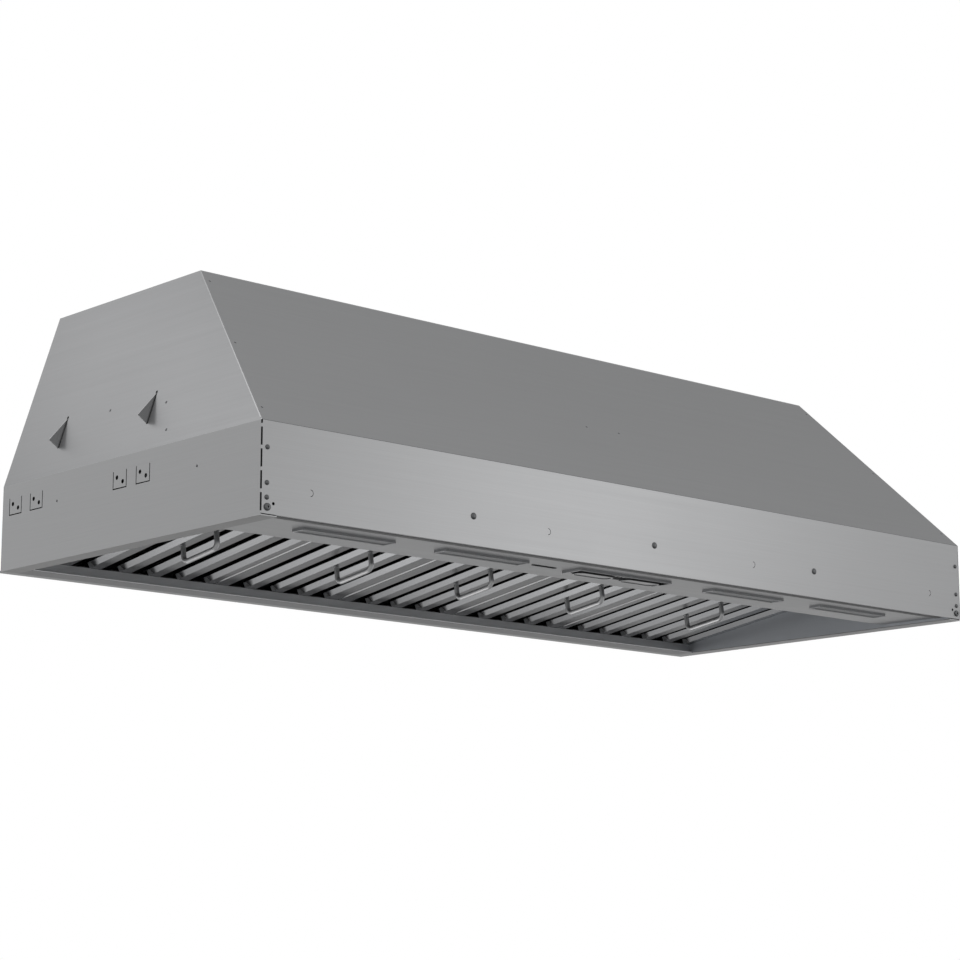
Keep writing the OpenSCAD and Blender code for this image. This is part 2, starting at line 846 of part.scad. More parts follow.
module cable_gland() {
    color(black) from_front() translate([-box_x, box_y, 0]) difference() {
        union() {
            translate([0, 0, body_h]) cylinder(r = gland_nut_r, h = gland_nut_h, $fn = 6);
            translate([0, 0, body_h - gland_thread_l]) cylinder(r = gland_thread_r, h = gland_thread_l);
            translate([0, 0, body_h - gland_thread_l])
                cylinder(r = gland_nut_r, h = gland_thread_l - sheet_t - box_t, $fn = 6);
        }
        translate([0, 0, body_h - gland_thread_l - over])
            cylinder(d = gland_bore, h = gland_thread_l + gland_nut_h + 2 * over);
    }
}

module duct_collar() {
    color(zinc) from_front() translate([0, duct_y, 0]) difference() {
        union() {
            translate([0, 0, body_h]) cylinder(r = collar_r, h = collar_h);
            translate([0, 0, body_h]) cylinder(r = collar_r + collar_flange, h = sheet_t);
        }
        translate([0, 0, body_h + sheet_t]) cylinder(r = collar_r - sheet_t, h = collar_h + over);
        translate([0, 0, body_h - over]) cylinder(r = collar_r - sheet_t - stop_ring, h = collar_h);
        translate([-collar_r - over, 0, damper_z]) rotate([0, 90, 0])
            cylinder(d = damper_pin_d, h = collar_d + 2 * over);
    }
}

module damper_pin() {
    color(bright) from_front() translate([-collar_r, duct_y, damper_z]) rotate([0, 90, 0])
        cylinder(d = damper_pin_d, h = collar_d);
}

// Half of the damper behind its pin, lying on the collar's stop ring, with knuckles at the given places
module flap(knuckles) {
    flap_z = body_h + sheet_t + seat_gap;
    flap_r = collar_r - sheet_t - flap_play;
    translate([0, duct_y, 0]) difference() {
        union() {
            translate([0, 0, flap_z]) linear_extrude(flap_t) intersection() {
                circle(r = flap_r);
                translate([-flap_r, knuckle_r + knuckle_gap]) square([2 * flap_r, flap_r]);
            }
            for (x = knuckles) {
                translate([x - knuckle_len / 2, 0, damper_z]) rotate([0, 90, 0])
                    cylinder(r = knuckle_r, h = knuckle_len);
                block([x - knuckle_len / 2, 0, flap_z],
                    [x + knuckle_len / 2, knuckle_r + 2 * knuckle_gap, damper_z]);
            }
        }
        translate([-collar_r, 0, damper_z]) rotate([0, 90, 0])
            cylinder(r = damper_pin_d / 2 + pin_play, h = collar_d);
    }
}

function knuckle_places(side) = [for (k = [-1, 1])
    k * (collar_r / 2) + side * (knuckle_len + knuckle_gap) / 2];

module rear_damper_flap() {
    color(zinc) from_front() flap(knuckle_places(1));
}

module front_damper_flap() {
    color(zinc) from_front() translate([0, 2 * duct_y, 0]) mirror([0, 1, 0]) flap(knuckle_places(-1));
}

// Side outline of the scroll and its neck, y to the rear and z up from the wheel's axis
module scroll_outline(inset) {
    top = body_h - sheet_t - blower_z;
    circle(d = scroll_d - 2 * inset);
    translate([scroll_d / 2 - neck_d + inset, 0]) square([neck_d - 2 * inset, top]);
}

module blower_housing() {
    top = body_h - sheet_t - blower_z;
    color(zinc) from_front() translate([0, blower_y, blower_z]) difference() {
        union() {
            rotate([90, 0, 90]) translate([0, 0, -scroll_w / 2]) linear_extrude(scroll_w) scroll_outline(0);
            block([-scroll_w / 2 - neck_flange, scroll_d / 2 - neck_d - neck_flange, top - sheet_t],
                [scroll_w / 2 + neck_flange, scroll_d / 2 + neck_flange, top]);
        }
        rotate([90, 0, 90]) translate([0, 0, -scroll_w / 2 + scroll_t])
            linear_extrude(scroll_w - 2 * scroll_t) scroll_outline(scroll_t);
        block([-scroll_w / 2 + scroll_t, scroll_d / 2 - neck_d + scroll_t, 0],
            [scroll_w / 2 - scroll_t, scroll_d / 2 - scroll_t, top + over]);
        translate([-scroll_w / 2 - over, 0, 0]) rotate([0, 90, 0])
            cylinder(d = inlet_d, h = scroll_w + 2 * over);
    }
}

module blower_wheel() {
    inner_r = wheel_d / 2 - blade_depth;
    color(motor_grey) from_front() translate([0, blower_y, blower_z]) rotate([0, 90, 0]) difference() {
        union() {
            for (i = [0 : blade_count - 1]) rotate([0, 0, i * 360 / blade_count])
                translate([wheel_d / 2 - blade_depth / 2 - blade_t / 2, 0, -wheel_w / 2])
                    rotate([0, 0, blade_a]) translate([-blade_depth / 2, -blade_t / 2, 0])
                        cube([blade_depth, blade_t, wheel_w]);
            for (z = [-wheel_w / 2, wheel_w / 2 - wheel_ring_t]) translate([0, 0, z]) difference() {
                cylinder(d = wheel_d, h = wheel_ring_t);
                translate([0, 0, -over]) cylinder(r = inner_r, h = wheel_ring_t + 2 * over);
            }
            translate([0, 0, -hub_t / 2]) cylinder(d = wheel_d - blade_depth, h = hub_t);
            translate([0, 0, -hub_t / 2]) cylinder(r = hub_boss_r, h = hub_boss_l);
        }
        translate([0, 0, -wheel_w / 2]) cylinder(d = shaft_d, h = wheel_w);
    }
}

function motor_end() = -scroll_w / 2 - motor_out + motor_l;

module motor() {
    color(motor_grey) from_front() translate([-scroll_w / 2 - motor_out, blower_y, blower_z])
        rotate([0, 90, 0]) difference() {
            cylinder(d = motor_d, h = motor_l);
            translate([0, 0, motor_l - shaft_in]) cylinder(r = shaft_d / 2 + pin_play, h = shaft_in + over);
        }
}

module motor_shaft() {
    start = motor_end() - shaft_in + seat_gap;
    color(bright) from_front() translate([start, blower_y, blower_z]) rotate([0, 90, 0])
        cylinder(d = shaft_d, h = hub_boss_l - hub_t / 2 - start);
}

module motor_bracket() {
    plate_x = -scroll_w / 2 - arm_t;
    arm_r = inlet_d / 2 + arm_w;
    color(zinc) from_front() translate([plate_x, blower_y, blower_z]) rotate([0, 90, 0]) difference() {
        union() {
            cylinder(r = motor_d / 2 + bracket_ring, h = arm_t);
            for (i = [0 : arm_count - 1]) rotate([0, 0, i * 360 / arm_count])
                translate([0, -arm_w / 2, 0]) cube([arm_r, arm_w, arm_t]);
        }
        translate([0, 0, -over]) cylinder(d = motor_d, h = arm_t + 2 * over);
    }
}

function filter_width(i) = (i == 1 || i == filter_count) ? outer_filter_w : filter_w;
function filter_x(i) = (i == 1 || i == filter_count)
    ? sign(i - (filter_count + 1) / 2) * (1.5 * filter_cell + outer_filter_w / 2)
    : (i - (filter_count + 1) / 2) * filter_cell;
function gap_count(w) = floor((w - 2 * min_margin + baffle_flat) / baffle_pitch);

// Outline of one lower baffle, with its flat bottom at the filter's bottom
module baffle_outline() {
    half = baffle_flat / 2;
    edge = half + baffle_run;
    polygon([[-edge, baffle_rise], [-half, 0], [half, 0], [edge, baffle_rise],
        [edge, baffle_rise + baffle_t], [half, baffle_t], [-half, baffle_t],
        [-edge, baffle_rise + baffle_t]]);
}

// Outline of the frame's bottom margin at the left of a filter: edge, flat and raised inner edge
module margin_outline(margin) {
    polygon([[0, filter_edge], [filter_edge, 0], [margin, 0], [margin + baffle_run, baffle_rise],
        [margin + baffle_run, baffle_rise + baffle_t], [margin, baffle_t], [filter_edge, baffle_t],
        [filter_t, filter_edge + filter_t], [filter_t, filter_h], [0, filter_h]]);
}

module filter(i) {
    w = filter_width(i);
    gaps = gap_count(w);
    span = gaps * baffle_pitch - baffle_flat;
    margin = (w - span) / 2;
    color(bright) from_front() in_filter_plane() translate([filter_x(i), 0, 0]) union() {
        rotate([90, 0, 0]) linear_extrude(filter_len) {
            for (side = [0, 1]) mirror([side, 0]) translate([-w / 2, 0]) margin_outline(margin);
            for (k = [1 : gaps - 1])
                translate([-w / 2 + margin + k * baffle_pitch - baffle_flat / 2, 0]) baffle_outline();
        }
        rotate([90, 0, 0]) translate([0, 0, filter_t]) linear_extrude(filter_len - 2 * filter_t)
            for (k = [0 : gaps - 1])
                translate([-w / 2 + margin + baffle_gap / 2 + k * baffle_pitch, upper_top])
                    mirror([0, 1]) baffle_outline();
        filter_end_member(w);
        translate([0, -filter_len, 0]) mirror([0, 1, 0]) filter_end_member(w);
    }
}

// A filter's frame across its rear end, with its outside at y = 0
module filter_end_member(w) {
    block([-w / 2 + filter_edge, -slot_end, 0], [w / 2 - filter_edge, 0, filter_t]);
    block([-w / 2 + filter_t / 2, -filter_t, filter_edge], [w / 2 - filter_t / 2, 0, filter_h]);
    block([-w / 2 + filter_edge, -filter_t, 0], [w / 2 - filter_edge, 0, filter_h]);
    block([-w / 2 + filter_t / 2, -frame_lip, filter_h - filter_t], [w / 2 - filter_t / 2, 0, filter_h]);
}

// A bent rod with its ends on the bottom of its filter's middle baffle
module filter_handle(i) {
    leg = handle_drop - handle_d / 2 - handle_bend;
    half = handle_span / 2;
    color(bright) from_front() in_filter_plane() translate([filter_x(i), -handle_setback, 0]) union() {
        for (side = [-1, 1]) {
            translate([0, side * half, -leg]) cylinder(d = handle_d, h = leg);
            mirror([0, (1 - side) / 2, 0]) translate([0, half - handle_bend, -leg]) rotate([90, 0, 90])
                rotate([0, 0, -90]) rotate_extrude(angle = 90)
                    translate([handle_bend, 0]) circle(d = handle_d);
        }
        translate([0, -half + handle_bend, -leg - handle_bend]) rotate([-90, 0, 0])
            cylinder(d = handle_d, h = handle_span - 2 * handle_bend);
    }
}

// Moves a piece to a catch's pivot. Catches 1 and 2 are left front and left rear, 3 and 4 right
module at_catch(i) {
    y = (i % 2 == 1) ? catch_front_y : body_d - catch_rear_in;
    p = on_end(catch_z, catch_inset);
    mirror([i > 2 ? 1 : 0, 0, 0]) translate([p[0], y, p[1]]) rotate([0, lean_a, 0]) children();
}

// A flat wing in the plane of its slit. Here x is the depth behind the panel and z runs along it
module catch_wing(i) {
    face = -catch_inset;
    low = -catch_len;
    color(bright) from_front() at_catch(i) rotate([90, 0, 0])
        translate([0, 0, -catch_t / 2 - catch_shift])
        linear_extrude(catch_t) difference() {
            union() {
                circle(r = catch_eye_r);
                polygon([[-catch_eye_r, 0], [face - catch_out, low + catch_lug], [face, low + seat_gap],
                    [face + sheet_t + seat_gap, low + seat_gap],
                    [face + sheet_t + seat_gap, low - catch_lug],
                    [face + sheet_t + seat_gap + catch_heel / 2, low - catch_lug],
                    [face + sheet_t + seat_gap + catch_heel, low + catch_lug], [catch_eye_r, 0]]);
            }
            circle(r = catch_pin_r + pin_play);
        }
}

// Two ears and a foot behind the end panel, each side of a wing's eye
module catch_brackets() {
    foot = -catch_inset + sheet_t;
    gap = catch_slit / 2 + bracket_gap;
    color(zinc) for (i = [1 : 4]) from_front() at_catch(i) difference() {
        union() {
            for (side = [-1, 1]) translate([0, side * (gap + bracket_t / 2), 0]) {
                block([foot, -bracket_t / 2, -catch_eye_r], [catch_eye_r, bracket_t / 2, catch_eye_r]);
                translate([0, side * bracket_lap / 2, 0])
                    block([foot, -bracket_lap / 2 - bracket_t / 2, -catch_eye_r],
                        [foot + bracket_t, bracket_lap / 2 + bracket_t / 2, catch_eye_r]);
            }
            block([catch_eye_r + seat_gap, -gap - bracket_t, 0],
                [catch_eye_r + seat_gap + bracket_t, gap + bracket_t, catch_eye_r]);
            for (side = [-1, 1]) translate([0, side * (gap + bracket_t / 2), 0])
                block([0, -bracket_t / 2, -catch_eye_r],
                    [catch_eye_r + seat_gap + bracket_t, bracket_t / 2, catch_eye_r]);
        }
        translate([0, gap + 2 * bracket_t, 0]) rotate([90, 0, 0])
            cylinder(r = catch_pin_r, h = 2 * gap + 4 * bracket_t);
    }
}

module catch_pins() {
    half = catch_slit / 2 + bracket_gap + bracket_t;
    color(bright) for (i = [1 : 4]) from_front() at_catch(i) union() {
        translate([0, half, 0]) rotate([90, 0, 0]) cylinder(r = catch_pin_r, h = 2 * half);
        translate([0, half + catch_pin_head_t, 0]) rotate([90, 0, 0])
            cylinder(r = catch_pin_head_r, h = catch_pin_head_t);
    }
}

// The torsion springs, each a plain sleeve beside its wing
module catch_springs() {
    inner = catch_pin_r + pin_play;
    room = catch_slit / 2 + bracket_gap + catch_shift - catch_t / 2;
    color(bright) for (i = [1 : 4]) from_front() at_catch(i)
        translate([0, catch_shift - catch_t / 2 - spring_play, 0]) rotate([90, 0, 0]) difference() {
            cylinder(r = inner + spring_wall, h = room - 2 * spring_play);
            translate([0, 0, -over]) cylinder(r = inner, h = room + 2 * over);
        }
}

// A head on the front face with a small edge break
module face_head(d) {
    rotate([90, 0, 0]) rotate_extrude()
        polygon([[0, 0], [d / 2, 0], [d / 2, head_h - head_edge], [d / 2 - head_edge, head_h], [0, head_h]]);
}

module face_fasteners() {
    color(bright) from_front() {
        for (k = [-1 : 1]) translate([k * rivet_pitch, 0, rivet_z]) face_head(rivet_d);
        for (side = [-1, 1]) {
            for (z = corner_rivet_z)
                translate([side * (body_w / 2 - corner_rivet_in), 0, z]) face_head(corner_rivet_d);
            translate([side * (body_w / 2 - corner_screw_in), 0, corner_screw_z]) face_head(corner_screw_d);
        }
    }
}

skirt_shell();
front_slope_panel();
left_end_panel();
right_end_panel();
rear_panel();
top_panel();
front_strip();
front_rail();
rear_rail();
left_liner();
right_liner();
control_pan();
control_plate();
control_board();
fan_pad();
light_pad();
for (i = [1 : button_count]) button(i - 1);
for (i = [1 : 4]) lamp_housing(lamp_x[i - 1]);
for (i = [1 : 4]) lamp_lens(lamp_x[i - 1]);
lamp_driver();
junction_box();
junction_box_cover();
cable_gland();
duct_collar();
damper_pin();
front_damper_flap();
rear_damper_flap();
blower_housing();
blower_wheel();
motor();
motor_shaft();
motor_bracket();
for (i = [1 : filter_count]) filter(i);
for (i = [1 : filter_count]) filter_handle(i);
for (i = [1 : 4]) catch_wing(i);
catch_brackets();
catch_pins();
catch_springs();
face_fasteners();
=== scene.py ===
"""Range hood insert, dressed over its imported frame: steel finishes, heads, springs, lamps and studio."""

import logging
import math
from collections.abc import Sequence
from dataclasses import dataclass, field
from enum import Enum
from functools import cached_property

import bmesh
import bpy
from mathutils import Matrix, Vector


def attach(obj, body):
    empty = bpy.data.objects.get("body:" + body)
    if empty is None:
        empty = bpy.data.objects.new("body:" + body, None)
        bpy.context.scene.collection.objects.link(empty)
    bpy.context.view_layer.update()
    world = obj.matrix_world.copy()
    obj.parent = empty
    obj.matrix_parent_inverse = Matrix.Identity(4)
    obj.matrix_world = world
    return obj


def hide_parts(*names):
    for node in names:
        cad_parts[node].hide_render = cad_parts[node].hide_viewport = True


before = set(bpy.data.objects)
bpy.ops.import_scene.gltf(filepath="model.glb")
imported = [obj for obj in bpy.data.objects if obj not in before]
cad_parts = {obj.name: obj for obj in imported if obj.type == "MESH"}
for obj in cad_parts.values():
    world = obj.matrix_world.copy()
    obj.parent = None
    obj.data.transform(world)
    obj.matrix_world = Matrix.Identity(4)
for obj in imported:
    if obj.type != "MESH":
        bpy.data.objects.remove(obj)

LOG = logging.getLogger("hood_insert")
Colour = tuple[float, float, float]
Outline = Sequence[tuple[float, float]]
Node = bpy.types.Node
Socket = bpy.types.NodeSocket
Tree = bpy.types.NodeTree

MM = 0.001
CANOPY = "canopy"


@dataclass(frozen=True)
class HoodSizes:
    """The driving sizes that carry the trim, in millimetres. A y is counted back from the front face."""

    body_w: float = 1480.0
    body_d: float = 634.0
    body_h: float = 404.0
    head_h: float = 2.4
    rear_flange: float = 14.0
    sheet_t: float = 1.5
    skirt_h: float = 128.0
    end_inset: float = 89.0
    slope_run: float = 268.0
    lip_w: float = 28.0
    rail_in: float = 36.0
    rail_h: float = 15.1
    seat_gap: float = 0.3
    lamp_x: tuple[float, ...] = (-536.6, -280.0, 280.0, 536.6)
    lamp_y: tuple[float, float] = (64.5, 86.5)

    @property
    def half_w(self) -> float:
        """Half the body's width."""
        return self.body_w / 2

    @property
    def rise(self) -> float:
        """Height of the leaning panels above the skirt."""
        return self.body_h - self.skirt_h

    @property
    def lean(self) -> float:
        """Angle of the end panels from upright, in radians."""
        return math.atan2(self.end_inset, self.rise)

    @property
    def bay_half(self) -> float:
        """Half the width between the bottom lips."""
        return self.half_w - self.lip_w

    @property
    def rail_y(self) -> float:
        """The y of the rear rail."""
        return self.body_d - self.rail_in

    def end_x(self, z: float) -> float:
        """The x of the right end panel's outer face at a height."""
        return self.half_w - (z - self.skirt_h) * math.tan(self.lean)

    def at(self, x: float, y: float, z: float) -> Vector:
        """A point of the frame in metres."""
        front_y = self.head_h - (self.head_h + self.body_d + self.rear_flange) / 2
        return Vector((x, y + front_y, z)) * MM


HOOD = HoodSizes()


@dataclass(frozen=True)
class FilterRow:
    """The five tilted baffle filters, counted from 1 at the left, of which the two outer ones are wider."""

    count: int = 5
    inner_w: float = 249.4
    seam: float = 0.8
    length: float = 451.0
    tilt: float = math.radians(8.5)
    rear_lap: float = 20.0

    @property
    def inner_half(self) -> float:
        """Half the width of the inner filters together."""
        return (self.count - 2) / 2 * (self.inner_w + self.seam)

    def width(self, i: int) -> float:
        """The width of a filter."""
        return HOOD.bay_half - self.inner_half - self.seam if i in (1, self.count) else self.inner_w

    def middle(self, i: int) -> float:
        """The x of a filter's middle."""
        place = i - (self.count + 1) / 2
        outer = math.copysign(self.inner_half + self.width(i) / 2, place)
        return outer if i in (1, self.count) else place * (self.inner_w + self.seam)

    def at(self, x: float, ahead: float, up: float) -> Vector:
        """A point on the tilted filters.

        Args:
            x: Its x in millimetres.
            ahead: Distance ahead of the filters' rear end, along their tilt.
            up: Height over their bottom.

        Returns:
            The point in metres.
        """
        y = HOOD.rail_y + self.rear_lap - ahead * math.cos(self.tilt) + up * math.sin(self.tilt)
        rear_z = HOOD.rail_h + HOOD.seat_gap - self.rear_lap * math.tan(self.tilt)
        return HOOD.at(x, y, rear_z + ahead * math.sin(self.tilt) + up * math.cos(self.tilt))


FILTERS = FilterRow()


class Axis(Enum):
    """A direction that a head or a mark faces, as the turn in degrees that takes +Z there."""

    FRONT = (90, "X")
    REAR = (-90, "X")
    UP = (0, "X")
    DOWN = (180, "X")
    LEFT = (-90, "Y")

    def turn(self) -> Matrix:
        """The turn that takes +Z to this direction."""
        degrees, about = self.value
        return Matrix.Rotation(math.radians(degrees), 4, about)


class Grain(Enum):
    """How a sheet is brushed."""

    LEVEL = "level"
    BAFFLES = "along the baffles"


class NodeDesk:
    """Adds and joins the nodes of one shader tree."""

    def __init__(self, tree: Tree) -> None:
        """Keeps the tree."""
        self.tree = tree

    def add(self, kind: str, **settings: object) -> Node:
        """Adds a node and sets its properties and unlinked inputs.

        Args:
            kind: Name of the node type after ShaderNode.
            **settings: Properties by name, and inputs by their name with underscores for blanks.

        Returns:
            The node.
        """
        node = self.tree.nodes.new("ShaderNode" + kind)
        for name, value in settings.items():
            if hasattr(node, name):
                setattr(node, name, value)
            else:
                self.feed(value, node.inputs[name.replace("_", " ")])
        return node

    def feed(self, value: object, socket: Socket) -> None:
        """Links a socket to an input, or writes a plain value into it.

        Args:
            value: An output socket, or a number, colour or vector.
            socket: The input.
        """
        if isinstance(value, Socket):
            self.tree.links.new(value, socket)
        else:
            socket.default_value = value

    def maths(self, operation: str, *values: object, clamp: bool = False) -> Socket:
        """A Math node's result.

        Args:
            operation: Name of the operation.
            *values: Its inputs, as numbers or sockets.
            clamp: Whether the result stays between 0 and 1.

        Returns:
            The output socket.
        """
        node = self.tree.nodes.new("ShaderNodeMath")
        node.operation = operation
        node.use_clamp = clamp
        for value, socket in zip(values, node.inputs):
            self.feed(value, socket)
        return node.outputs[0]

    def blend(self, share: object, first: object, second: object, mode: str = "MIX") -> Socket:
        """A colour made of two others.

        Args:
            share: How much of the second colour, 0 to 1.
            first: First colour, as four numbers or a socket.
            second: Second colour.
            mode: How the second colour goes over the first.

        Returns:
            The output socket.
        """
        node = self.tree.nodes.new("ShaderNodeMix")
        node.data_type, node.blend_type = "RGBA", mode
        for value, socket in zip((share, first, second), (node.inputs[0], node.inputs[6], node.inputs[7])):
            self.feed(value, socket)
        return node.outputs[2]

    def effect(self, tree: Tree, **values: float) -> Node:
        """Places a shared group in this tree.

        Args:
            tree: The group.
            **values: Values of the group's inputs.

        Returns:
            The group node.
        """
        node = self.tree.nodes.new("ShaderNodeGroup")
        node.node_tree = tree
        for name, value in values.items():
            node.inputs[name].default_value = value
        return node

def open_group(name: str, inputs: dict[str, float], outputs: list[str]) -> tuple[NodeDesk, Node, Node]:
    """Opens a new node group with float sockets.

    Args:
        name: Name of the group.
        inputs: Input names with their defaults.
        outputs: Output names.

    Returns:
        The desk, the group's input node and its output node.
    """
    tree = bpy.data.node_groups.new(name, "ShaderNodeTree")
    for label, value in inputs.items():
        socket = tree.interface.new_socket(name=label, in_out="INPUT", socket_type="NodeSocketFloat")
        socket.default_value = value
    for label in outputs:
        tree.interface.new_socket(name=label, in_out="OUTPUT", socket_type="NodeSocketFloat")
    return NodeDesk(tree), tree.nodes.new("NodeGroupInput"), tree.nodes.new("NodeGroupOutput")


@dataclass
class SharedEffects:
    """The node groups that several finishes share, each built on its first use."""

    level_face: float = 0.97
    band_scale: tuple[float, float, float] = (0.25, 0.25, 0.12)
    band_height: float = 0.4
    speck_rate: float = 90.0
    down_shade_edge: float = 6.0

    @cached_property
    def brushing(self) -> Tree:
        """Long level brush lines, which run along y where Baffle is 1, with slow bands under them."""
        desk, given, result = open_group(
            "brushing", {"Along": 6.0, "Across": 900.0, "Baffle": 0.0}, ["Lines", "Bands", "Height"])
        along, baffle = given.outputs["Along"], given.outputs["Baffle"]
        place = desk.add("TexCoord")
        parts = desk.add("SeparateXYZ", Vector=place.outputs["Object"])
        facing = desk.add("SeparateXYZ", Vector=place.outputs["Normal"])
        level = desk.maths("GREATER_THAN", desk.maths("ABSOLUTE", facing.outputs["Z"]), self.level_face)
        gain = desk.maths("SUBTRACT", given.outputs["Across"], along)
        upright = desk.maths("SUBTRACT", 1.0, baffle)
        shares = {"X": baffle, "Y": desk.maths("MULTIPLY", level, upright), "Z": upright}
        stretched = desk.add("CombineXYZ")
        for axis, share in shares.items():
            rate = desk.maths("MULTIPLY_ADD", gain, share, along)
            desk.feed(desk.maths("MULTIPLY", parts.outputs[axis], rate), stretched.inputs[axis])
        fine = desk.add("TexNoise", Vector=stretched.outputs[0], Scale=1.0, Detail=3.0, Roughness=0.65)
        slow_place = desk.add("Mapping", Vector=stretched.outputs[0])
        slow_place.inputs["Scale"].default_value = self.band_scale
        slow = desk.add("TexNoise", Vector=slow_place.outputs[0], Scale=1.0, Detail=2.0)
        height = desk.maths("MULTIPLY_ADD", slow.outputs[0], self.band_height, fine.outputs[0])
        for value, label in ((fine.outputs[0], "Lines"), (slow.outputs[0], "Bands"), (height, "Height")):
            desk.feed(value, result.inputs[label])
        return desk.tree

    @cached_property
    def clouding(self) -> Tree:
        """Soft uneven patches, as handling and rolling leave on metal and plastic."""
        desk, given, result = open_group("clouding", {"Size": 5.0, "Detail": 3.0}, ["Patches", "Height"])
        place = desk.add("TexCoord").outputs["Object"]
        size = given.outputs["Size"]
        broad = desk.add("TexNoise", Vector=place, Scale=size, Detail=given.outputs["Detail"], Roughness=0.55)
        speck = desk.maths("MULTIPLY", size, self.speck_rate)
        small = desk.add("TexNoise", Vector=place, Scale=speck, Detail=2.0)
        desk.feed(broad.outputs[0], result.inputs["Patches"])
        desk.feed(small.outputs[0], result.inputs["Height"])
        return desk.tree

    @cached_property
    def fold_edges(self) -> Tree:
        """A mask that is 1 on folds and cut edges and 0 on open sheet, where the steel finishes paint a
        highlight.
        """
        desk, given, result = open_group("fold_edges", {"Radius": 0.001, "Strength": 6.0}, ["Edge"])
        rounded = desk.add("Bevel", samples=4, Radius=given.outputs["Radius"])
        match = desk.add("VectorMath", operation="DOT_PRODUCT")
        desk.feed(rounded.outputs[0], match.inputs[0])
        desk.feed(desk.add("NewGeometry").outputs["Normal"], match.inputs[1])
        bare = desk.maths("SUBTRACT", 1.0, match.outputs["Value"])
        desk.feed(desk.maths("MULTIPLY", bare, given.outputs["Strength"], clamp=True), result.inputs["Edge"])
        return desk.tree

    @cached_property
    def down_face_shade(self) -> Tree:
        """A mask that is 1 on sides that face down, where the finishes paint shade into the colour."""
        desk, given, result = open_group("down_face_shade", {"Start": 0.7}, ["Film"])
        facing = desk.add("SeparateXYZ", Vector=desk.add("TexCoord").outputs["Normal"])
        down = desk.maths("MULTIPLY", facing.outputs["Z"], -1.0)
        over = desk.maths("SUBTRACT", down, given.outputs["Start"])
        desk.feed(desk.maths("MULTIPLY", over, self.down_shade_edge, clamp=True), result.inputs["Film"])
        return desk.tree


EFFECTS = SharedEffects()


def rgba(colour: Colour, gain: float) -> tuple[float, float, float, float]:
    """The colour with a gain, as Blender's four numbers."""
    return (*(min(1.0, part * gain) for part in colour), 1.0)


def grey(level: float) -> tuple[float, float, float, float]:
    """A plain grey, as Blender's four numbers."""
    return rgba((1.0, 1.0, 1.0), level)


@dataclass(frozen=True)
class Finish:
    """A finish of one kind of surface, built as a material on its first use."""

    name: str
    colour: Colour
    roughness: float

    def material(self) -> bpy.types.Material:
        """Builds the material once and returns it."""
        if self.name in bpy.data.materials:
            return bpy.data.materials[self.name]
        material = bpy.data.materials.new(self.name)
        material.use_nodes = True
        self.dress(NodeDesk(material.node_tree), material.node_tree.nodes["Principled BSDF"])
        return material

    def dress(self, desk: NodeDesk, skin: Node) -> None:
        """Joins the finish's nodes to its shader.

        Args:
            desk: The material's desk.
            skin: The Principled node.
        """
        raise NotImplementedError(self.name)

    def tints(self, desk: NodeDesk, share: Socket, low: float, high: float) -> Socket:
        """The colour between two gains, by a share that changes over the surface."""
        return desk.blend(share, rgba(self.colour, low), rgba(self.colour, high))


@dataclass(frozen=True)
class SteelFinish(Finish):
    """Brushed or rolled sheet: its grain, fold edges with a painted highlight, and painted shade on the sides
    that face down.
    """

    grain: Grain = Grain.LEVEL
    along: float = 5.0
    across: float = 900.0
    tone: float = 0.06
    depth: float = 0.02
    clouds: float = 0.04
    # The edge gain lightens folds and cut edges: a painted highlight.
    edge_highlight_gain: float = 1.3
    edge_radius: float = 0.0007
    # The under gain and tone darken the sides that face down: painted shade.
    under: float = 1.0
    under_tone: float = 0.06
    relief_d: float = 0.0004
    rim: float = 1.0
    band_gloss: float = 0.04
    patch_gloss: float = 0.06

    def dress(self, desk: NodeDesk, skin: Node) -> None:
        """Joins the brush lines, patches, painted highlight on fold edges and painted shade on down-facing
        sides to the shader.

        Args:
            desk: The material's desk.
            skin: The Principled node.
        """
        baffles = float(self.grain is Grain.BAFFLES)
        lines = desk.effect(EFFECTS.brushing, Along=self.along, Across=self.across, Baffle=baffles)
        patches = desk.effect(EFFECTS.clouding, Size=4.0).outputs["Patches"]
        folds = desk.effect(EFFECTS.fold_edges, Radius=self.edge_radius, Strength=5.0)
        sheet = self.tints(desk, lines.outputs["Lines"], 1 - self.tone, 1 + self.tone)
        cloudy = desk.blend(patches, grey(1 - self.clouds), grey(1.0))
        sheet = desk.blend(1.0, sheet, cloudy, "MULTIPLY")
        # Painted highlight: folds and cut edges take a lighter colour.
        painted_sheet = desk.blend(folds.outputs["Edge"], sheet, rgba(self.colour, self.edge_highlight_gain))
        # Painted shade: sides that face down take a darker colour.
        if self.under < 1.0:
            down_shade = desk.effect(EFFECTS.down_face_shade, Start=0.7)
            low, high = (self.under * (1 + sign * self.under_tone) for sign in (-1, 1))
            down_tint = self.tints(desk, patches, low, high)
            painted_sheet = desk.blend(down_shade.outputs["Film"], painted_sheet, down_tint)
        desk.feed(painted_sheet, skin.inputs["Base Color"])
        skin.inputs["Metallic"].default_value = 1.0
        skin.inputs["Specular Tint"].default_value = grey(self.rim)
        start = self.roughness - (self.band_gloss + self.patch_gloss) / 2
        banded = desk.maths("MULTIPLY_ADD", lines.outputs["Bands"], self.band_gloss, start)
        rough = desk.maths("MULTIPLY_ADD", patches, self.patch_gloss, banded)
        desk.feed(rough, skin.inputs["Roughness"])
        bump = desk.add("Bump", Strength=self.depth, Distance=self.relief_d, Height=lines.outputs["Height"])
        desk.feed(bump.outputs[0], skin.inputs["Normal"])


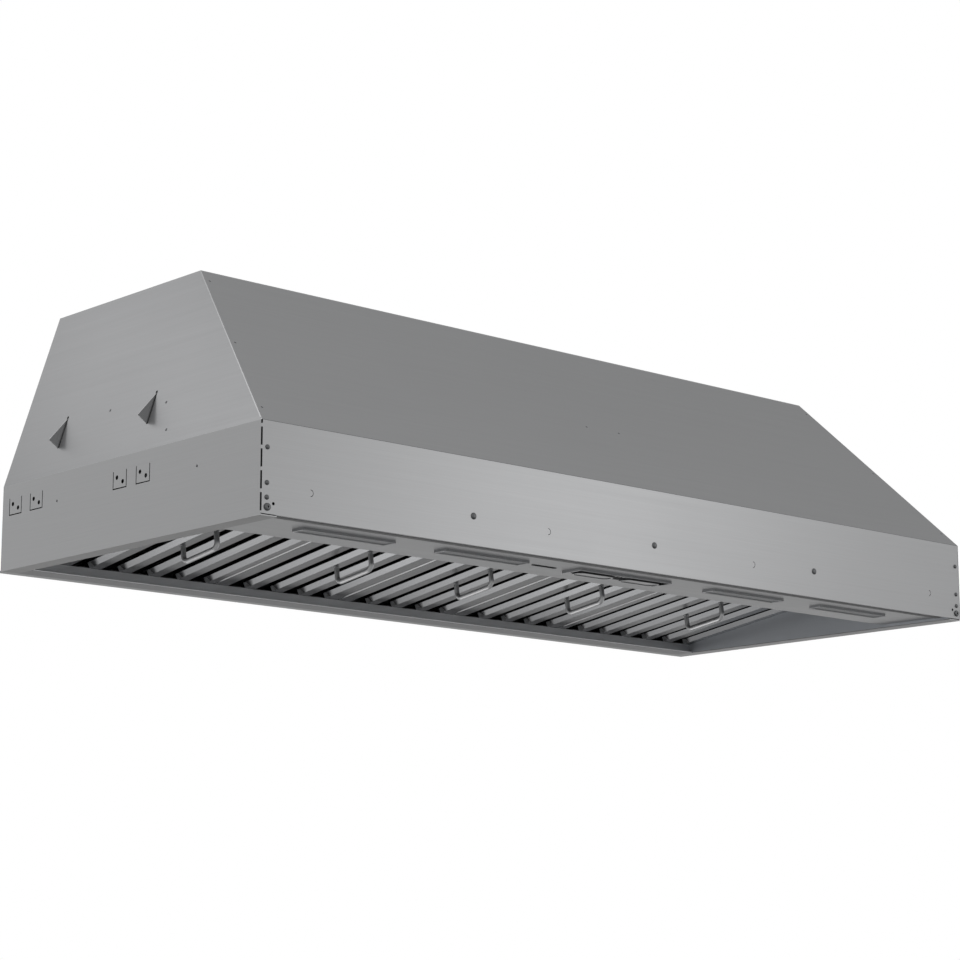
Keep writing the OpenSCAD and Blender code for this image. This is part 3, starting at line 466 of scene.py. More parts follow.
@dataclass(frozen=True)
class MouldedFinish(Finish):
    """Plastic, rubber, enamel or lacquer with a fine grain, uneven in colour and gloss, and the dark strip of
    painted shade behind the front face.
    """

    grain: float = 0.1
    coat: float = 0.0
    shine: float = 0.5
    patch_size: float = 22.0
    dark: float = 0.86
    light: float = 1.12
    patch_gloss: float = 0.14
    relief_d: float = 0.0002

    def dress(self, desk: NodeDesk, skin: Node) -> None:
        """Joins the patches and the grain to the shader.

        Args:
            desk: The material's desk.
            skin: The Principled node.
        """
        effect = desk.effect(EFFECTS.clouding, Size=self.patch_size)
        patches = effect.outputs["Patches"]
        desk.feed(self.tints(desk, patches, self.dark, self.light), skin.inputs["Base Color"])
        start = self.roughness - self.patch_gloss / 2
        desk.feed(desk.maths("MULTIPLY_ADD", patches, self.patch_gloss, start), skin.inputs["Roughness"])
        bump = desk.add("Bump", Strength=self.grain, Distance=self.relief_d, Height=effect.outputs["Height"])
        desk.feed(bump.outputs[0], skin.inputs["Normal"])
        skin.inputs["Coat Weight"].default_value = self.coat
        skin.inputs["Specular IOR Level"].default_value = self.shine


@dataclass(frozen=True)
class LensFinish(MouldedFinish):
    """Frosted lamp cover, clear enough to show the depth behind it."""

    clear: float = 0.2

    def dress(self, desk: NodeDesk, skin: Node) -> None:
        """Adds the clear share to the moulded surface."""
        super().dress(desk, skin)
        skin.inputs["Transmission Weight"].default_value = self.clear
        skin.inputs["IOR"].default_value = 1.49


# Where under is below 1, the finish paints shade on the sides that face down.
SKIRT_STEEL = SteelFinish("brushed_skirt_steel", (0.295, 0.297, 0.301), 0.34, under=0.16)
SLOPE_STEEL = SteelFinish("brushed_slope_steel", (0.285, 0.287, 0.291), 0.32, rim=0.5)
PANEL_STEEL = SteelFinish("brushed_panel_steel", (0.222, 0.224, 0.228), 0.40, edge_highlight_gain=1.05)
STRIP_STEEL = SteelFinish("brushed_strip_steel", (0.31, 0.314, 0.322), 0.34, under=0.50)
LINER_STEEL = SteelFinish("dull_liner_steel", (0.440, 0.458, 0.485), 0.50, clouds=0.10, under=0.45)
RAIL_STEEL = SteelFinish("rear_rail_steel", (0.35, 0.355, 0.366), 0.42, under=0.27)
BAFFLE_STEEL = SteelFinish("baffle_steel", (0.185, 0.187, 0.191), 0.25, grain=Grain.BAFFLES, across=1200.0)
ROD_STEEL = SteelFinish("handle_rod_steel", (0.48, 0.483, 0.488), 0.42, grain=Grain.BAFFLES, edge_highlight_gain=1.0,
                        under=0.6)
# A lighter copy of the baffle steel: the end plates paint a highlight on the baffles.
LOUVRE_HIGHLIGHT_STEEL = SteelFinish("louvre_end_highlight_steel", (0.36, 0.363, 0.37), 0.34, grain=Grain.BAFFLES)
# Dark marks: the spots in the dimples and the line of painted shade along the front seam.
SPOT_STEEL = SteelFinish("dark_spot_and_seam_shade", (0.085, 0.086, 0.090), 0.45)
ZINC_SHEET = SteelFinish("zinc_coated_sheet", (0.25, 0.26, 0.27), 0.46, along=14.0, across=60.0, clouds=0.22)
PAD_STEEL = SteelFinish("push_pad_steel", (0.13, 0.132, 0.136), 0.30)
# The heads' strong edge gain paints a highlight round their rims.
HEAD_STEEL = SteelFinish("turned_head_steel", (0.10, 0.102, 0.105), 0.30, edge_highlight_gain=2.2)
SPRING_STEEL = SteelFinish("spring_steel", (0.30, 0.30, 0.31), 0.25)
CATCH_STEEL = SteelFinish("catch_steel", (0.40, 0.402, 0.406), 0.40)
# Lighter than the sheets that the rolled edges belong to: a painted highlight.
EDGE_HIGHLIGHT_STEEL = SteelFinish("rolled_edge_highlight_steel", (0.34, 0.343, 0.35), 0.34)
# Far lighter than the rail steel: the hem paints a highlight line on the rail's fold.
HEM_HIGHLIGHT_STEEL = SteelFinish("rail_hem_highlight_steel", (0.62, 0.625, 0.635), 0.30, under=0.55)
BLACK_PLASTIC = MouldedFinish("moulded_black_plastic", (0.016, 0.016, 0.017), 0.42)
PLATE_BLACK = MouldedFinish("matt_black_plate", (0.012, 0.012, 0.013), 0.65, shine=0.05)
BUTTON_PLASTIC = MouldedFinish("button_plastic", (0.03, 0.03, 0.032), 0.34, coat=0.2)
# A dark strip that paints the shade behind the front face's bottom edge.
SHADE_STRIP = MouldedFinish("painted_shade_strip_matte", (0.17, 0.17, 0.172), 0.9, grain=0.6, shine=0.1)
FOAM_RUBBER = MouldedFinish("foam_rubber", (0.02, 0.02, 0.021), 0.85, grain=0.5)
BOARD_LACQUER = MouldedFinish("board_lacquer", (0.012, 0.020, 0.016), 0.35, coat=0.5)
MOTOR_ENAMEL = MouldedFinish("motor_enamel", (0.05, 0.052, 0.056), 0.40, grain=0.25, coat=0.3)
LED_CARRIER = MouldedFinish("led_carrier", (0.62, 0.62, 0.60), 0.45)
FLOOR_PAINT = MouldedFinish("pale_floor", (0.82, 0.82, 0.82), 0.9)
LAMP_LENS = LensFinish("frosted_lamp_cover", (0.15, 0.154, 0.16), 0.42, grain=0.08, shine=0.2,
                       patch_size=14.0, dark=0.92, light=1.06, patch_gloss=0.08)

NODE_FINISHES: dict[str, Finish] = {
    "skirt_shell": SKIRT_STEEL, "front_slope_panel": SLOPE_STEEL, "left_end_panel": PANEL_STEEL,
    "right_end_panel": PANEL_STEEL, "rear_panel": PANEL_STEEL, "top_panel": PANEL_STEEL,
    "front_strip": STRIP_STEEL, "control_pan": STRIP_STEEL, "rear_rail": RAIL_STEEL,
    "left_liner": LINER_STEEL, "right_liner": LINER_STEEL, "control_plate": PLATE_BLACK,
    "control_board": BOARD_LACQUER, "fan_pad": PAD_STEEL, "light_pad": PAD_STEEL, "button": BUTTON_PLASTIC,
    "lamp_lens": LAMP_LENS, "cable_gland": BLACK_PLASTIC, "damper_pin": SPRING_STEEL,
    "blower_wheel": MOTOR_ENAMEL, "motor": MOTOR_ENAMEL, "motor_shaft": SPRING_STEEL,
    "filter": BAFFLE_STEEL, "filter_handle": ROD_STEEL, "catch": CATCH_STEEL,
    "catch_pins": SPRING_STEEL, "catch_springs": SPRING_STEEL, "face_fasteners": HEAD_STEEL,
}


class PieceMaker:
    """Gathers the faces of one piece, and puts it on its body with its finish."""

    def __init__(self, name: str) -> None:
        """Starts an empty mesh."""
        self.name = name
        self.mesh = bmesh.new()

    def lathe(self, profile: Outline, spot: Vector, turn: Matrix, steps: int = 24) -> None:
        """Turns a profile round its axis.

        Args:
            profile: Radius and height pairs in millimetres, from the middle of the top to the rim.
            spot: Foot of the axis, in metres.
            turn: Turn of the axis from +Z.
            steps: Number of steps round.
        """
        place = Matrix.Translation(spot) @ turn
        rings: list[list[bmesh.types.BMVert]] = []
        for radius, height in profile:
            count = 1 if radius == 0.0 else steps
            angles = (2 * math.pi * i / steps for i in range(count))
            points = (Vector((radius * math.cos(a), radius * math.sin(a), height)) * MM for a in angles)
            rings.append([self.mesh.verts.new(place @ point) for point in points])
        for upper, lower in zip(rings, rings[1:]):
            for i in range(steps):
                j = (i + 1) % steps
                turns = ((upper, i), (lower, i), (lower, j), (upper, j))
                unique = list(dict.fromkeys(ring[k % len(ring)] for ring, k in turns))
                if len(unique) > 2:
                    self.mesh.faces.new(unique)

    def slab(self, low: Vector, high: Vector) -> None:
        """A block between two corners.

        Args:
            low: Lowest corner, in metres.
            high: Highest corner.
        """
        made = bmesh.ops.create_cube(self.mesh, size=1.0)
        for vertex in made["verts"]:
            vertex.co = Vector(low[k] + (vertex.co[k] + 0.5) * (high[k] - low[k]) for k in range(3))

    def plate(self, outline: list[Vector], rise: Vector) -> None:
        """A flat plate.

        Args:
            outline: Corners of its first face, in metres.
            rise: From the first face to the other one.
        """
        base = [self.mesh.verts.new(p) for p in outline]
        top = [self.mesh.verts.new(p + rise) for p in outline]
        self.mesh.faces.new(base[::-1])
        self.mesh.faces.new(top)
        count = len(outline)
        for i in range(count):
            j = (i + 1) % count
            self.mesh.faces.new([base[i], base[j], top[j], top[i]])

    def tube(self, path: list[Vector], radius: float, sides: int = 8) -> None:
        """A round wire along a path.

        Args:
            path: Points in metres.
            radius: Radius of the wire in metres.
            sides: Number of sides.
        """
        last: list[bmesh.types.BMVert] = []
        side = Vector((0.0, 0.0, 1.0))
        for i, point in enumerate(path):
            ahead = (path[min(i + 1, len(path) - 1)] - path[max(i - 1, 0)]).normalized()
            side = side - ahead * side.dot(ahead)
            if side.length < 1e-4:
                side = ahead.orthogonal()
            side.normalize()
            other = ahead.cross(side)
            ring = [self.mesh.verts.new(point + (side * math.cos(a) + other * math.sin(a)) * radius)
                    for a in (2 * math.pi * k / sides for k in range(sides))]
            for k in range(sides):
                if last:
                    self.mesh.faces.new([last[k], last[(k + 1) % sides], ring[(k + 1) % sides], ring[k]])
            if not last:
                self.mesh.faces.new(ring[::-1])
            last = ring
        self.mesh.faces.new(last)

    def piece(self, body: str, finish: Finish, smooth: bool = True) -> bpy.types.Object:
        """Ends the mesh and puts the piece on its body.

        Args:
            body: Body that it rides on.
            finish: Its finish.
            smooth: Whether its round faces are shaded smooth.

        Returns:
            The object.
        """
        bmesh.ops.recalc_face_normals(self.mesh, faces=self.mesh.faces)
        if smooth:
            for face in self.mesh.faces:
                face.smooth = True
            for edge in self.mesh.edges:
                edge.smooth = len(edge.link_faces) == 2 and edge.calc_face_angle(0.0) < math.radians(38)
        data = bpy.data.meshes.new(self.name)
        self.mesh.to_mesh(data)
        self.mesh.free()
        made = bpy.data.objects.new(self.name, data)
        bpy.context.scene.collection.objects.link(made)
        data.materials.append(finish.material())
        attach(made, body)
        LOG.info("piece %s on %s: %d faces", self.name, body, len(data.polygons))
        return made


def dress_frame() -> None:
    """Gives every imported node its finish, which is zinc coated sheet where none is named."""
    for name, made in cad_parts.items():
        key = name if name in NODE_FINISHES else name.rstrip("0123456789").rstrip("_")
        material = NODE_FINISHES.get(key, ZINC_SHEET).material()
        made.data.materials.clear()
        made.data.materials.append(material)
        LOG.info("node %s wears %s", name, material.name)


def domed_head(diameter: float, height: float) -> Outline:
    """Profile of a domed rivet head with a small flat rim."""
    r = diameter / 2
    shares = [(0.0, 1.0), (0.30, 0.97), (0.56, 0.86), (0.78, 0.64), (0.93, 0.36), (0.98, 0.22), (1.0, 0.0)]
    return [(r * a, height * b) for a, b in shares]


def pan_head(diameter: float, height: float) -> Outline:
    """Profile of a pan head with a round drive recess."""
    r = diameter / 2
    return [(0.0, height * 0.35), (r * 0.26, height * 0.35), (r * 0.34, height), (r * 0.72, height),
            (r * 0.92, height * 0.72), (r, height * 0.3), (r, 0.0)]


@dataclass
class FaceHeads:
    """Rivet heads and corner screws on the front face."""

    rivet_d: float = 10.0
    corner_d: float = 7.0
    screw_d: float = 10.5
    rivet_x: tuple[float, ...] = (-365.0, 0.0, 365.0)
    rivet_z: float = 44.0
    corner_in: float = 10.0
    corner_z: tuple[float, ...] = (24.4, 44.0, 91.7)
    screw_in: float = 11.0
    screw_z: float = 11.6

    def build(self) -> None:
        """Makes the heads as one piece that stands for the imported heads."""
        maker = PieceMaker("front_face_heads")
        turn = Axis.FRONT.turn()
        for x in self.rivet_x:
            maker.lathe(domed_head(self.rivet_d, HOOD.head_h), HOOD.at(x, 0, self.rivet_z), turn)
        for side in (-1, 1):
            for z in self.corner_z:
                spot = HOOD.at(side * (HOOD.half_w - self.corner_in), 0, z)
                maker.lathe(domed_head(self.corner_d, HOOD.head_h), spot, turn, 18)
            spot = HOOD.at(side * (HOOD.half_w - self.screw_in), 0, self.screw_z)
            maker.lathe(pan_head(self.screw_d, HOOD.head_h), spot, turn)
        made = maker.piece(CANOPY, HEAD_STEEL)
        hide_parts("face_fasteners")


@dataclass
class CatchWires:
    """Wound torsion springs beside the four catch wings."""

    pivot_z: float = 220.0
    inset: float = 6.4
    places_y: tuple[float, float] = (284.0, 510.0)
    wire_r: float = 0.55
    coil_r: float = 2.65
    turns: float = 3.8
    steps: int = 16
    wing_gap: float = 0.3
    turn_gap: float = 0.1

    def coil(self, side: int, y: float) -> list[Vector]:
        """The middle line of one spring.

        Args:
            side: 1 for the right end, -1 for the left one.
            y: The y of its catch.

        Returns:
            Points in metres.
        """
        x = self.inset * math.cos(HOOD.lean) - HOOD.end_x(self.pivot_z)
        z = self.pivot_z - self.inset * math.sin(HOOD.lean)
        path = []
        for i in range(int(self.turns * self.steps) + 1):
            a = 2 * math.pi * i / self.steps
            along = self.wing_gap + self.wire_r + i / self.steps * (2 * self.wire_r + self.turn_gap)
            out, up = x + self.coil_r * math.cos(a), z + self.coil_r * math.sin(a)
            path.append(HOOD.at(-side * out, y - along, up))
        return path

    def build(self) -> None:
        """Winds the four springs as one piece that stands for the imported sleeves."""
        maker = PieceMaker("catch_wire_springs")
        for side in (-1, 1):
            for y in self.places_y:
                maker.tube(self.coil(side, y), self.wire_r * MM)
        made = maker.piece(CANOPY, SPRING_STEEL)
        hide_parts("catch_springs")


@dataclass
class DuctTrim:
    """Screws round the collar, and foam on the damper flaps."""

    y: float = 484.0
    collar_r: float = 127.0
    screw_out: float = 8.8
    screw_d: float = 7.5
    screw_h: float = 2.2
    screws: int = 8
    foam_w: float = 7.0
    foam_t: float = 1.2
    foam_rise: float = 2.8
    foam_in: float = 0.6
    flap_r: float = 124.3
    pin_room: float = 6.5
    steps: int = 40

    def build(self) -> None:
        """Makes the collar's screws and the foam strips."""
        heads = PieceMaker("collar_screws")
        radius = self.collar_r + self.screw_out
        for i in range(self.screws):
            a = 2 * math.pi * (i + 0.5) / self.screws
            x, y = radius * math.cos(a), self.y + radius * math.sin(a)
            spot = HOOD.at(x, y, HOOD.body_h + HOOD.sheet_t)
            heads.lathe(pan_head(self.screw_d, self.screw_h), spot, Axis.UP.turn(), 18)
        heads.piece(CANOPY, SPRING_STEEL)
        for side, body in ((1, "rear_damper_flap"), (-1, "front_damper_flap")):
            self.foam(side, body)

    def foam(self, side: int, body: str) -> None:
        """A foam strip along a flap's round edge.

        Args:
            side: 1 for the rear flap, -1 for the front one.
            body: Body of the flap.
        """
        maker = PieceMaker(body + "_foam")
        low = math.asin(self.pin_room / self.flap_r)
        angles = [low + (math.pi - 2 * low) * i / self.steps for i in range(self.steps + 1)]
        z = HOOD.body_h + self.foam_rise
        outer, inner = ([HOOD.at(r * math.cos(a), self.y + side * r * math.sin(a), z) for a in angles]
                        for r in (self.flap_r - self.foam_in, self.flap_r - self.foam_w))
        maker.plate(outer + inner[::-1], Vector((0, 0, self.foam_t * MM)))
        maker.piece(body, FOAM_RUBBER, smooth=False)


@dataclass
class SeamMarks:
    """Flat spot weld marks along the top and rear seams."""

    mark_r: float = 2.6
    rise: float = 0.12
    pitch: float = 92.0
    end_in: float = 40.0
    edge_in: float = 9.0
    rear_drop: float = 14.0
    side_in: float = 10.0
    panel_z: tuple[float, ...] = (150.0, 216.0, 282.0, 348.0)
    skirt_z: tuple[float, ...] = (26.0, 66.0, 106.0)

    def mark(self, maker: PieceMaker, x: float, y: float, z: float, axis: Axis) -> None:
        """Adds one shallow round mark.

        Args:
            maker: Takes the faces.
            x: Place of the mark in millimetres.
            y: Its distance behind the front face.
            z: Its height.
            axis: Direction that it faces.
        """
        r = self.mark_r
        profile = [(0.0, self.rise * 0.3), (r * 0.7, self.rise * 0.3), (r * 0.85, self.rise), (r, 0.0)]
        maker.lathe(profile, HOOD.at(x, y, z), axis.turn(), 14)

    def build(self) -> None:
        """Makes the marks of the top and the rear."""
        maker = PieceMaker("seam_weld_marks")
        top_half = HOOD.half_w - HOOD.end_inset
        row = 2 * (top_half - self.end_in)
        count = int(row // self.pitch)
        front_y = HOOD.slope_run + self.edge_in
        for i in range(count + 1):
            x = -row / 2 + i * row / count
            self.mark(maker, x, front_y, HOOD.body_h, Axis.UP)
            self.mark(maker, x, HOOD.body_d - self.edge_in, HOOD.body_h, Axis.UP)
            self.mark(maker, x, HOOD.body_d, HOOD.body_h - self.rear_drop, Axis.REAR)
        for side in (-1, 1):
            for i in range(1, 4):
                x = side * (top_half - self.edge_in)
                self.mark(maker, x, front_y + i * self.pitch, HOOD.body_h, Axis.UP)
            for z in self.panel_z:
                self.mark(maker, side * (HOOD.end_x(z) - self.side_in), HOOD.body_d, z, Axis.REAR)
            for z in self.skirt_z:
                self.mark(maker, side * (HOOD.half_w - self.side_in), HOOD.body_d, z, Axis.REAR)
        maker.piece(CANOPY, PANEL_STEEL)


@dataclass
class PressMarks:
    """Dark round spots in the shallow dimples, and a dark bead along the front seam that paints the shade of
    the seam's gap.
    """

    side_y: tuple[float, ...] = (143.8, 487.7)
    side_z: float = 86.4
    end_yz: Outline = ((228.3, 151.6), (250.5, 196.4), (395.5, 209.5))
    slope_shares: tuple[float, ...] = (0.08, 0.5, 0.93)
    slope_in: float = 9.0
    middle_x: float = 35.0
    middle_share: float = 0.4
    spot_r: float = 1.9
    bead_r: float = 0.34
    bead_out: float = 0.2

    def spot(self, maker: PieceMaker, place: Vector, out: Vector) -> None:
        """Adds one thin round spot.

        Args:
            maker: Takes the faces.
            place: Middle of the dimple's rim, in metres.
            out: Direction that the sheet faces.
        """
        turn = out.to_track_quat("Z", "Y").to_matrix().to_4x4()
        maker.lathe([(0.0, 0.1), (self.spot_r * 0.8, 0.08), (self.spot_r, -0.1)], place, turn, 14)

    def slope_spot(self, maker: PieceMaker, x: float, share: float) -> None:
        """Adds a spot on the slope panel, at a share of the way up."""
        out = Vector((0.0, -HOOD.rise, HOOD.slope_run)).normalized()
        self.spot(maker, HOOD.at(x, HOOD.slope_run * share, HOOD.skirt_h + HOOD.rise * share), out)

    def build(self) -> None:
        """Makes the spots of the skirt, the ends and the slope, and the dark seam bead of painted shade."""
        maker = PieceMaker("dark_dimple_spots")
        for side in (-1, 1):
            for y in self.side_y:
                self.spot(maker, HOOD.at(side * HOOD.half_w, y, self.side_z), Vector((side, 0, 0)))
            out = Vector((side * math.cos(HOOD.lean), 0, math.sin(HOOD.lean)))
            for y, z in self.end_yz:
                self.spot(maker, HOOD.at(side * HOOD.end_x(z), y, z), out)
            for share in self.slope_shares:
                self.slope_spot(maker, side * (HOOD.half_w - HOOD.end_inset * share - self.slope_in), share)
            self.slope_spot(maker, side * self.middle_x, self.middle_share)
        maker.piece(CANOPY, SPOT_STEEL)
        # Painted shade: a dark line along the seam between the slope and the front face.
        bead = PieceMaker("front_seam_painted_shade")
        ends = [HOOD.at(x, self.bead_out, HOOD.skirt_h) for x in (-HOOD.half_w, HOOD.half_w)]
        bead.tube(ends, self.bead_r * MM)
        bead.piece(CANOPY, SPOT_STEEL)


@dataclass
class HandleWelds:
    """Weld beads where the handle rods meet the middle baffles."""

    handle_r: float = 4.0
    span: float = 83.4
    setback: float = 214.0
    bead: Outline = ((-0.4, 1.1), (0.1, 1.0), (0.6, 0.6), (0.9, 0.25), (1.0, 0.0))

    def build(self) -> None:
        """Makes a pair of beads for each filter."""
        turn = Matrix.Rotation(-FILTERS.tilt, 4, "X") @ Axis.DOWN.turn()
        profile = [(self.handle_r + out, up) for out, up in self.bead]
        for i in range(1, FILTERS.count + 1):
            maker = PieceMaker(f"handle_welds_{i}")
            for side in (-1, 1):
                foot = FILTERS.at(FILTERS.middle(i), self.setback + side * self.span / 2, 0.0)
                maker.lathe(profile, foot, turn, 20)
            maker.piece(f"filter_{i}", BAFFLE_STEEL)


@dataclass
class LouvreEnds:
    """Lighter plates at the ends of the baffles' slanted edges that paint a highlight there, and the rolled
    side folds of the filter frames in a lighter steel that paints a highlight on them.
    """

    flat: float = 19.0
    run: float = 7.7
    rise: float = 6.2
    pitch: float = 54.0
    margin_room: float = 24.0
    frame_w: float = 20.0
    press: float = 12.0
    press_cut: float = 0.45
    sink: float = 0.25
    plate_t: float = 0.6
    fold_r: float = 1.9
    fold_ahead: tuple[float, ...] = (1.0, 120.0, 240.0, 450.0)

    def wedge(self, maker: PieceMaker, edge: float, way: int, near: float, step: int) -> None:
        """One lighter plate at the end of a slanted edge, a painted highlight.

        Args:
            maker: Takes the faces.
            edge: The x where the slanted edge leaves the flat.
            way: 1 if the edge rises towards +X, -1 if towards -X.
            near: Distance ahead at which the frame ends.
            step: 1 at the rear end, -1 at the front end.
        """
        far, cut = near + step * self.press, near + step * self.press * self.press_cut
        tip = edge + way * self.run
        places = ((edge, far, 0.0), (tip, far, self.rise), (tip, cut, self.rise), (edge, near, 0.0))
        outline = [FILTERS.at(x, ahead, up - self.sink) for x, ahead, up in places]
        maker.plate(outline, FILTERS.at(0, 0, self.plate_t) - FILTERS.at(0, 0, 0))

    def edges(self, i: int) -> list[tuple[float, int]]:
        """The slanted edges of a filter's baffles, from the left.

        Args:
            i: Number of the filter.

        Returns:
            The x where each edge leaves its flat, and the way that it rises.
        """
        width = FILTERS.width(i)
        left = FILTERS.middle(i) - width / 2
        gaps = int((width - self.margin_room + self.flat) // self.pitch)
        margin = (width - gaps * self.pitch + self.flat) / 2
        starts = [left + margin + k * self.pitch for k in range(gaps)]
        return [pair for x in starts for pair in ((x, 1), (x + self.pitch - self.flat, -1))]

    def build(self) -> None:
        """Makes the lighter end plates and the rolled side folds of each filter, both painted highlights."""
        for i in range(1, FILTERS.count + 1):
            maker = PieceMaker(f"louvre_ends_{i}")
            for edge, way in self.edges(i):
                self.wedge(maker, edge, way, self.frame_w, 1)
                self.wedge(maker, edge, way, FILTERS.length - self.frame_w, -1)
            # The lighter end plates paint a highlight.
            maker.piece(f"filter_{i}", LOUVRE_HIGHLIGHT_STEEL, smooth=False)
            folds = PieceMaker(f"filter_side_folds_{i}")
            for side in (-1, 1):
                x = FILTERS.middle(i) + side * (FILTERS.width(i) / 2 - self.fold_r)
                path = [FILTERS.at(x, ahead, self.fold_r) for ahead in self.fold_ahead]
                folds.tube(path, self.fold_r * MM, 12)
            # The side folds are lighter than the baffle steel: a painted highlight.
            folds.piece(f"filter_{i}", EDGE_HIGHLIGHT_STEEL)


@dataclass
class UndersideTrim:
    """Rolled lips of the underside's openings and the rail's hem, in lighter steels that paint highlights on
    them, the sensor window, the seals, and a dark strip behind the front face that paints its shade.
    """

    lamp_w: float = 161.0
    opening_w: float = 192.0
    opening_y: tuple[float, float] = (60.0, 99.0)
    lip_z: float = 3.15
    lip_out: float = 0.75
    lip_turn: float = 2.0
    bead_r: float = 0.95
    rail_foot: float = 4.0
    hem_in: float = 0.9
    hem_r: float = 1.5
    sensor_x: float = -151.0
    sensor_y: float = 82.0
    sensor_w: float = 43.0
    sensor_r: float = 3.2
    sensor_z: float = 4.9
    sensor_t: float = 0.6
    seal_r: float = 0.8
    seal_low: float = 5.5
    seal_pitch: float = 29.3
    seal_len: float = 24.5
    seal_count: int = 5
    seal_room: float = 0.5
    # Where the dark strip of painted shade lies behind the front face.
    shade_strip_y: tuple[float, float] = (20.0, 31.0)
    shade_strip_z: tuple[float, float] = (5.0, 5.5)

    def ring(self, maker: PieceMaker, x: float, width: float, depth: tuple, closed: bool) -> None:
        """A rolled bead round an opening.

        Args:
            maker: Takes the faces.
            x: Middle of the opening.
            width: Its width.
            depth: Its front and rear y.
            closed: Whether the bead also runs along the rear side.
        """
        left, right = (x + side * (width / 2 + self.lip_out) for side in (-1, 1))
        front, rear = depth[0] - self.lip_out, depth[1] + self.lip_out
        turn = self.lip_turn
        path = [HOOD.at(left, rear, self.lip_z)]
        for middle, start in ((left + turn, 180), (right - turn, 270)):
            for step in range(5):
                a = math.radians(start + 22.5 * step)
                x, y = middle + turn * math.cos(a), front + turn + turn * math.sin(a)
                path.append(HOOD.at(x, y, self.lip_z))
        path.append(HOOD.at(right, rear, self.lip_z))
        maker.tube(path, self.bead_r * MM, 10)
        if closed:
            maker.tube([path[0], path[-1]], self.bead_r * MM, 10)

    def lips(self) -> None:
        """Makes the beads round the lamp slots and the control opening."""
        maker = PieceMaker("slot_lip_beads")
        for x in HOOD.lamp_x:
            self.ring(maker, x, self.lamp_w, HOOD.lamp_y, True)
        self.ring(maker, 0.0, self.opening_w, self.opening_y, False)
        # The beads are lighter than the strip: a painted highlight.
        maker.piece(CANOPY, EDGE_HIGHLIGHT_STEEL)

    def hem(self) -> None:
        """Makes the rolled hem of the rear rail, lighter than the rail to paint a highlight line."""
        maker = PieceMaker("rear_rail_hem")
        y = HOOD.rail_y - self.rail_foot + self.hem_in
        path = [HOOD.at(x, y, self.hem_r) for x in (-HOOD.bay_half, 0.0, HOOD.bay_half)]
        maker.tube(path, self.hem_r * MM, 14)
        # The hem's light steel paints a highlight line along the rail.
        maker.piece(CANOPY, HEM_HIGHLIGHT_STEEL)

    def window(self) -> None:
        """Makes the dark window of the sensor slit, a plate with round ends."""
        maker = PieceMaker("sensor_window")
        outline = []
        for side in (1, -1):
            middle = self.sensor_x + side * self.sensor_w / 2
            for step in range(7):
                a = math.radians(-side * 90 + 30 * step)
                x, y = middle + self.sensor_r * math.cos(a), self.sensor_y + self.sensor_r * math.sin(a)
                outline.append(HOOD.at(x, y, self.sensor_z))
        maker.plate(outline, Vector((0, 0, self.sensor_t * MM)))
        maker.piece(CANOPY, PLATE_BLACK, smooth=False)

    def seals(self) -> None:
        """Makes the seals behind the perforated corners."""
        maker = PieceMaker("corner_slot_seals")
        for side in (-1, 1):
            for k in range(self.seal_count):
                low = self.seal_low + k * self.seal_pitch
                high = min(low + self.seal_len, HOOD.skirt_h - self.seal_room)
                path = [HOOD.at(side * (HOOD.half_w - self.seal_r), self.seal_r, z) for z in (low, high)]
                maker.tube(path, self.seal_r * MM, 10)
        maker.piece(CANOPY, PLATE_BLACK)

    def shade_strip(self) -> None:
        """Makes the dark strip behind the front face, which paints the shade under its bottom edge."""
        maker = PieceMaker("front_painted_shade_strip")
        half = HOOD.bay_half
        maker.slab(*(HOOD.at(x, y, z) for x, y, z in zip((-half, half), self.shade_strip_y, self.shade_strip_z)))
        maker.piece(CANOPY, SHADE_STRIP, smooth=False)

    def build(self) -> None:
        """Makes the beads, the hem, the window, the seals and the painted shade strip."""
        self.lips()
        self.hem()
        self.window()
        self.seals()
        self.shade_strip()


@dataclass
class LampTrays:
    """LED carriers behind the four frosted covers."""

    z: float = 26.3
    length: float = 150.0
    width: float = 18.0
    board_t: float = 1.2
    count: int = 9
    diode_w: float = 5.0
    diode_t: float = 0.8

    def build(self) -> None:
        """Makes the carriers with their diodes."""
        y = sum(HOOD.lamp_y) / 2
        half = self.diode_w / 2
        square = ((-half, -half), (half, -half), (half, half), (-half, half))
        for i, x in enumerate(HOOD.lamp_x, start=1):
            board = PieceMaker(f"led_carrier_{i}")
            low = HOOD.at(x - self.length / 2, y - self.width / 2, self.z)
            board.slab(low, low + Vector((self.length, self.width, self.board_t)) * MM)
            for k in range(self.count):
                middle = x - self.length / 2 + (k + 0.5) * self.length / self.count
                outline = [HOOD.at(middle + dx, y + dy, self.z - self.diode_t) for dx, dy in square]
                board.plate(outline, Vector((0, 0, self.diode_t * MM)))
            board.piece(CANOPY, LED_CARRIER, smooth=False)


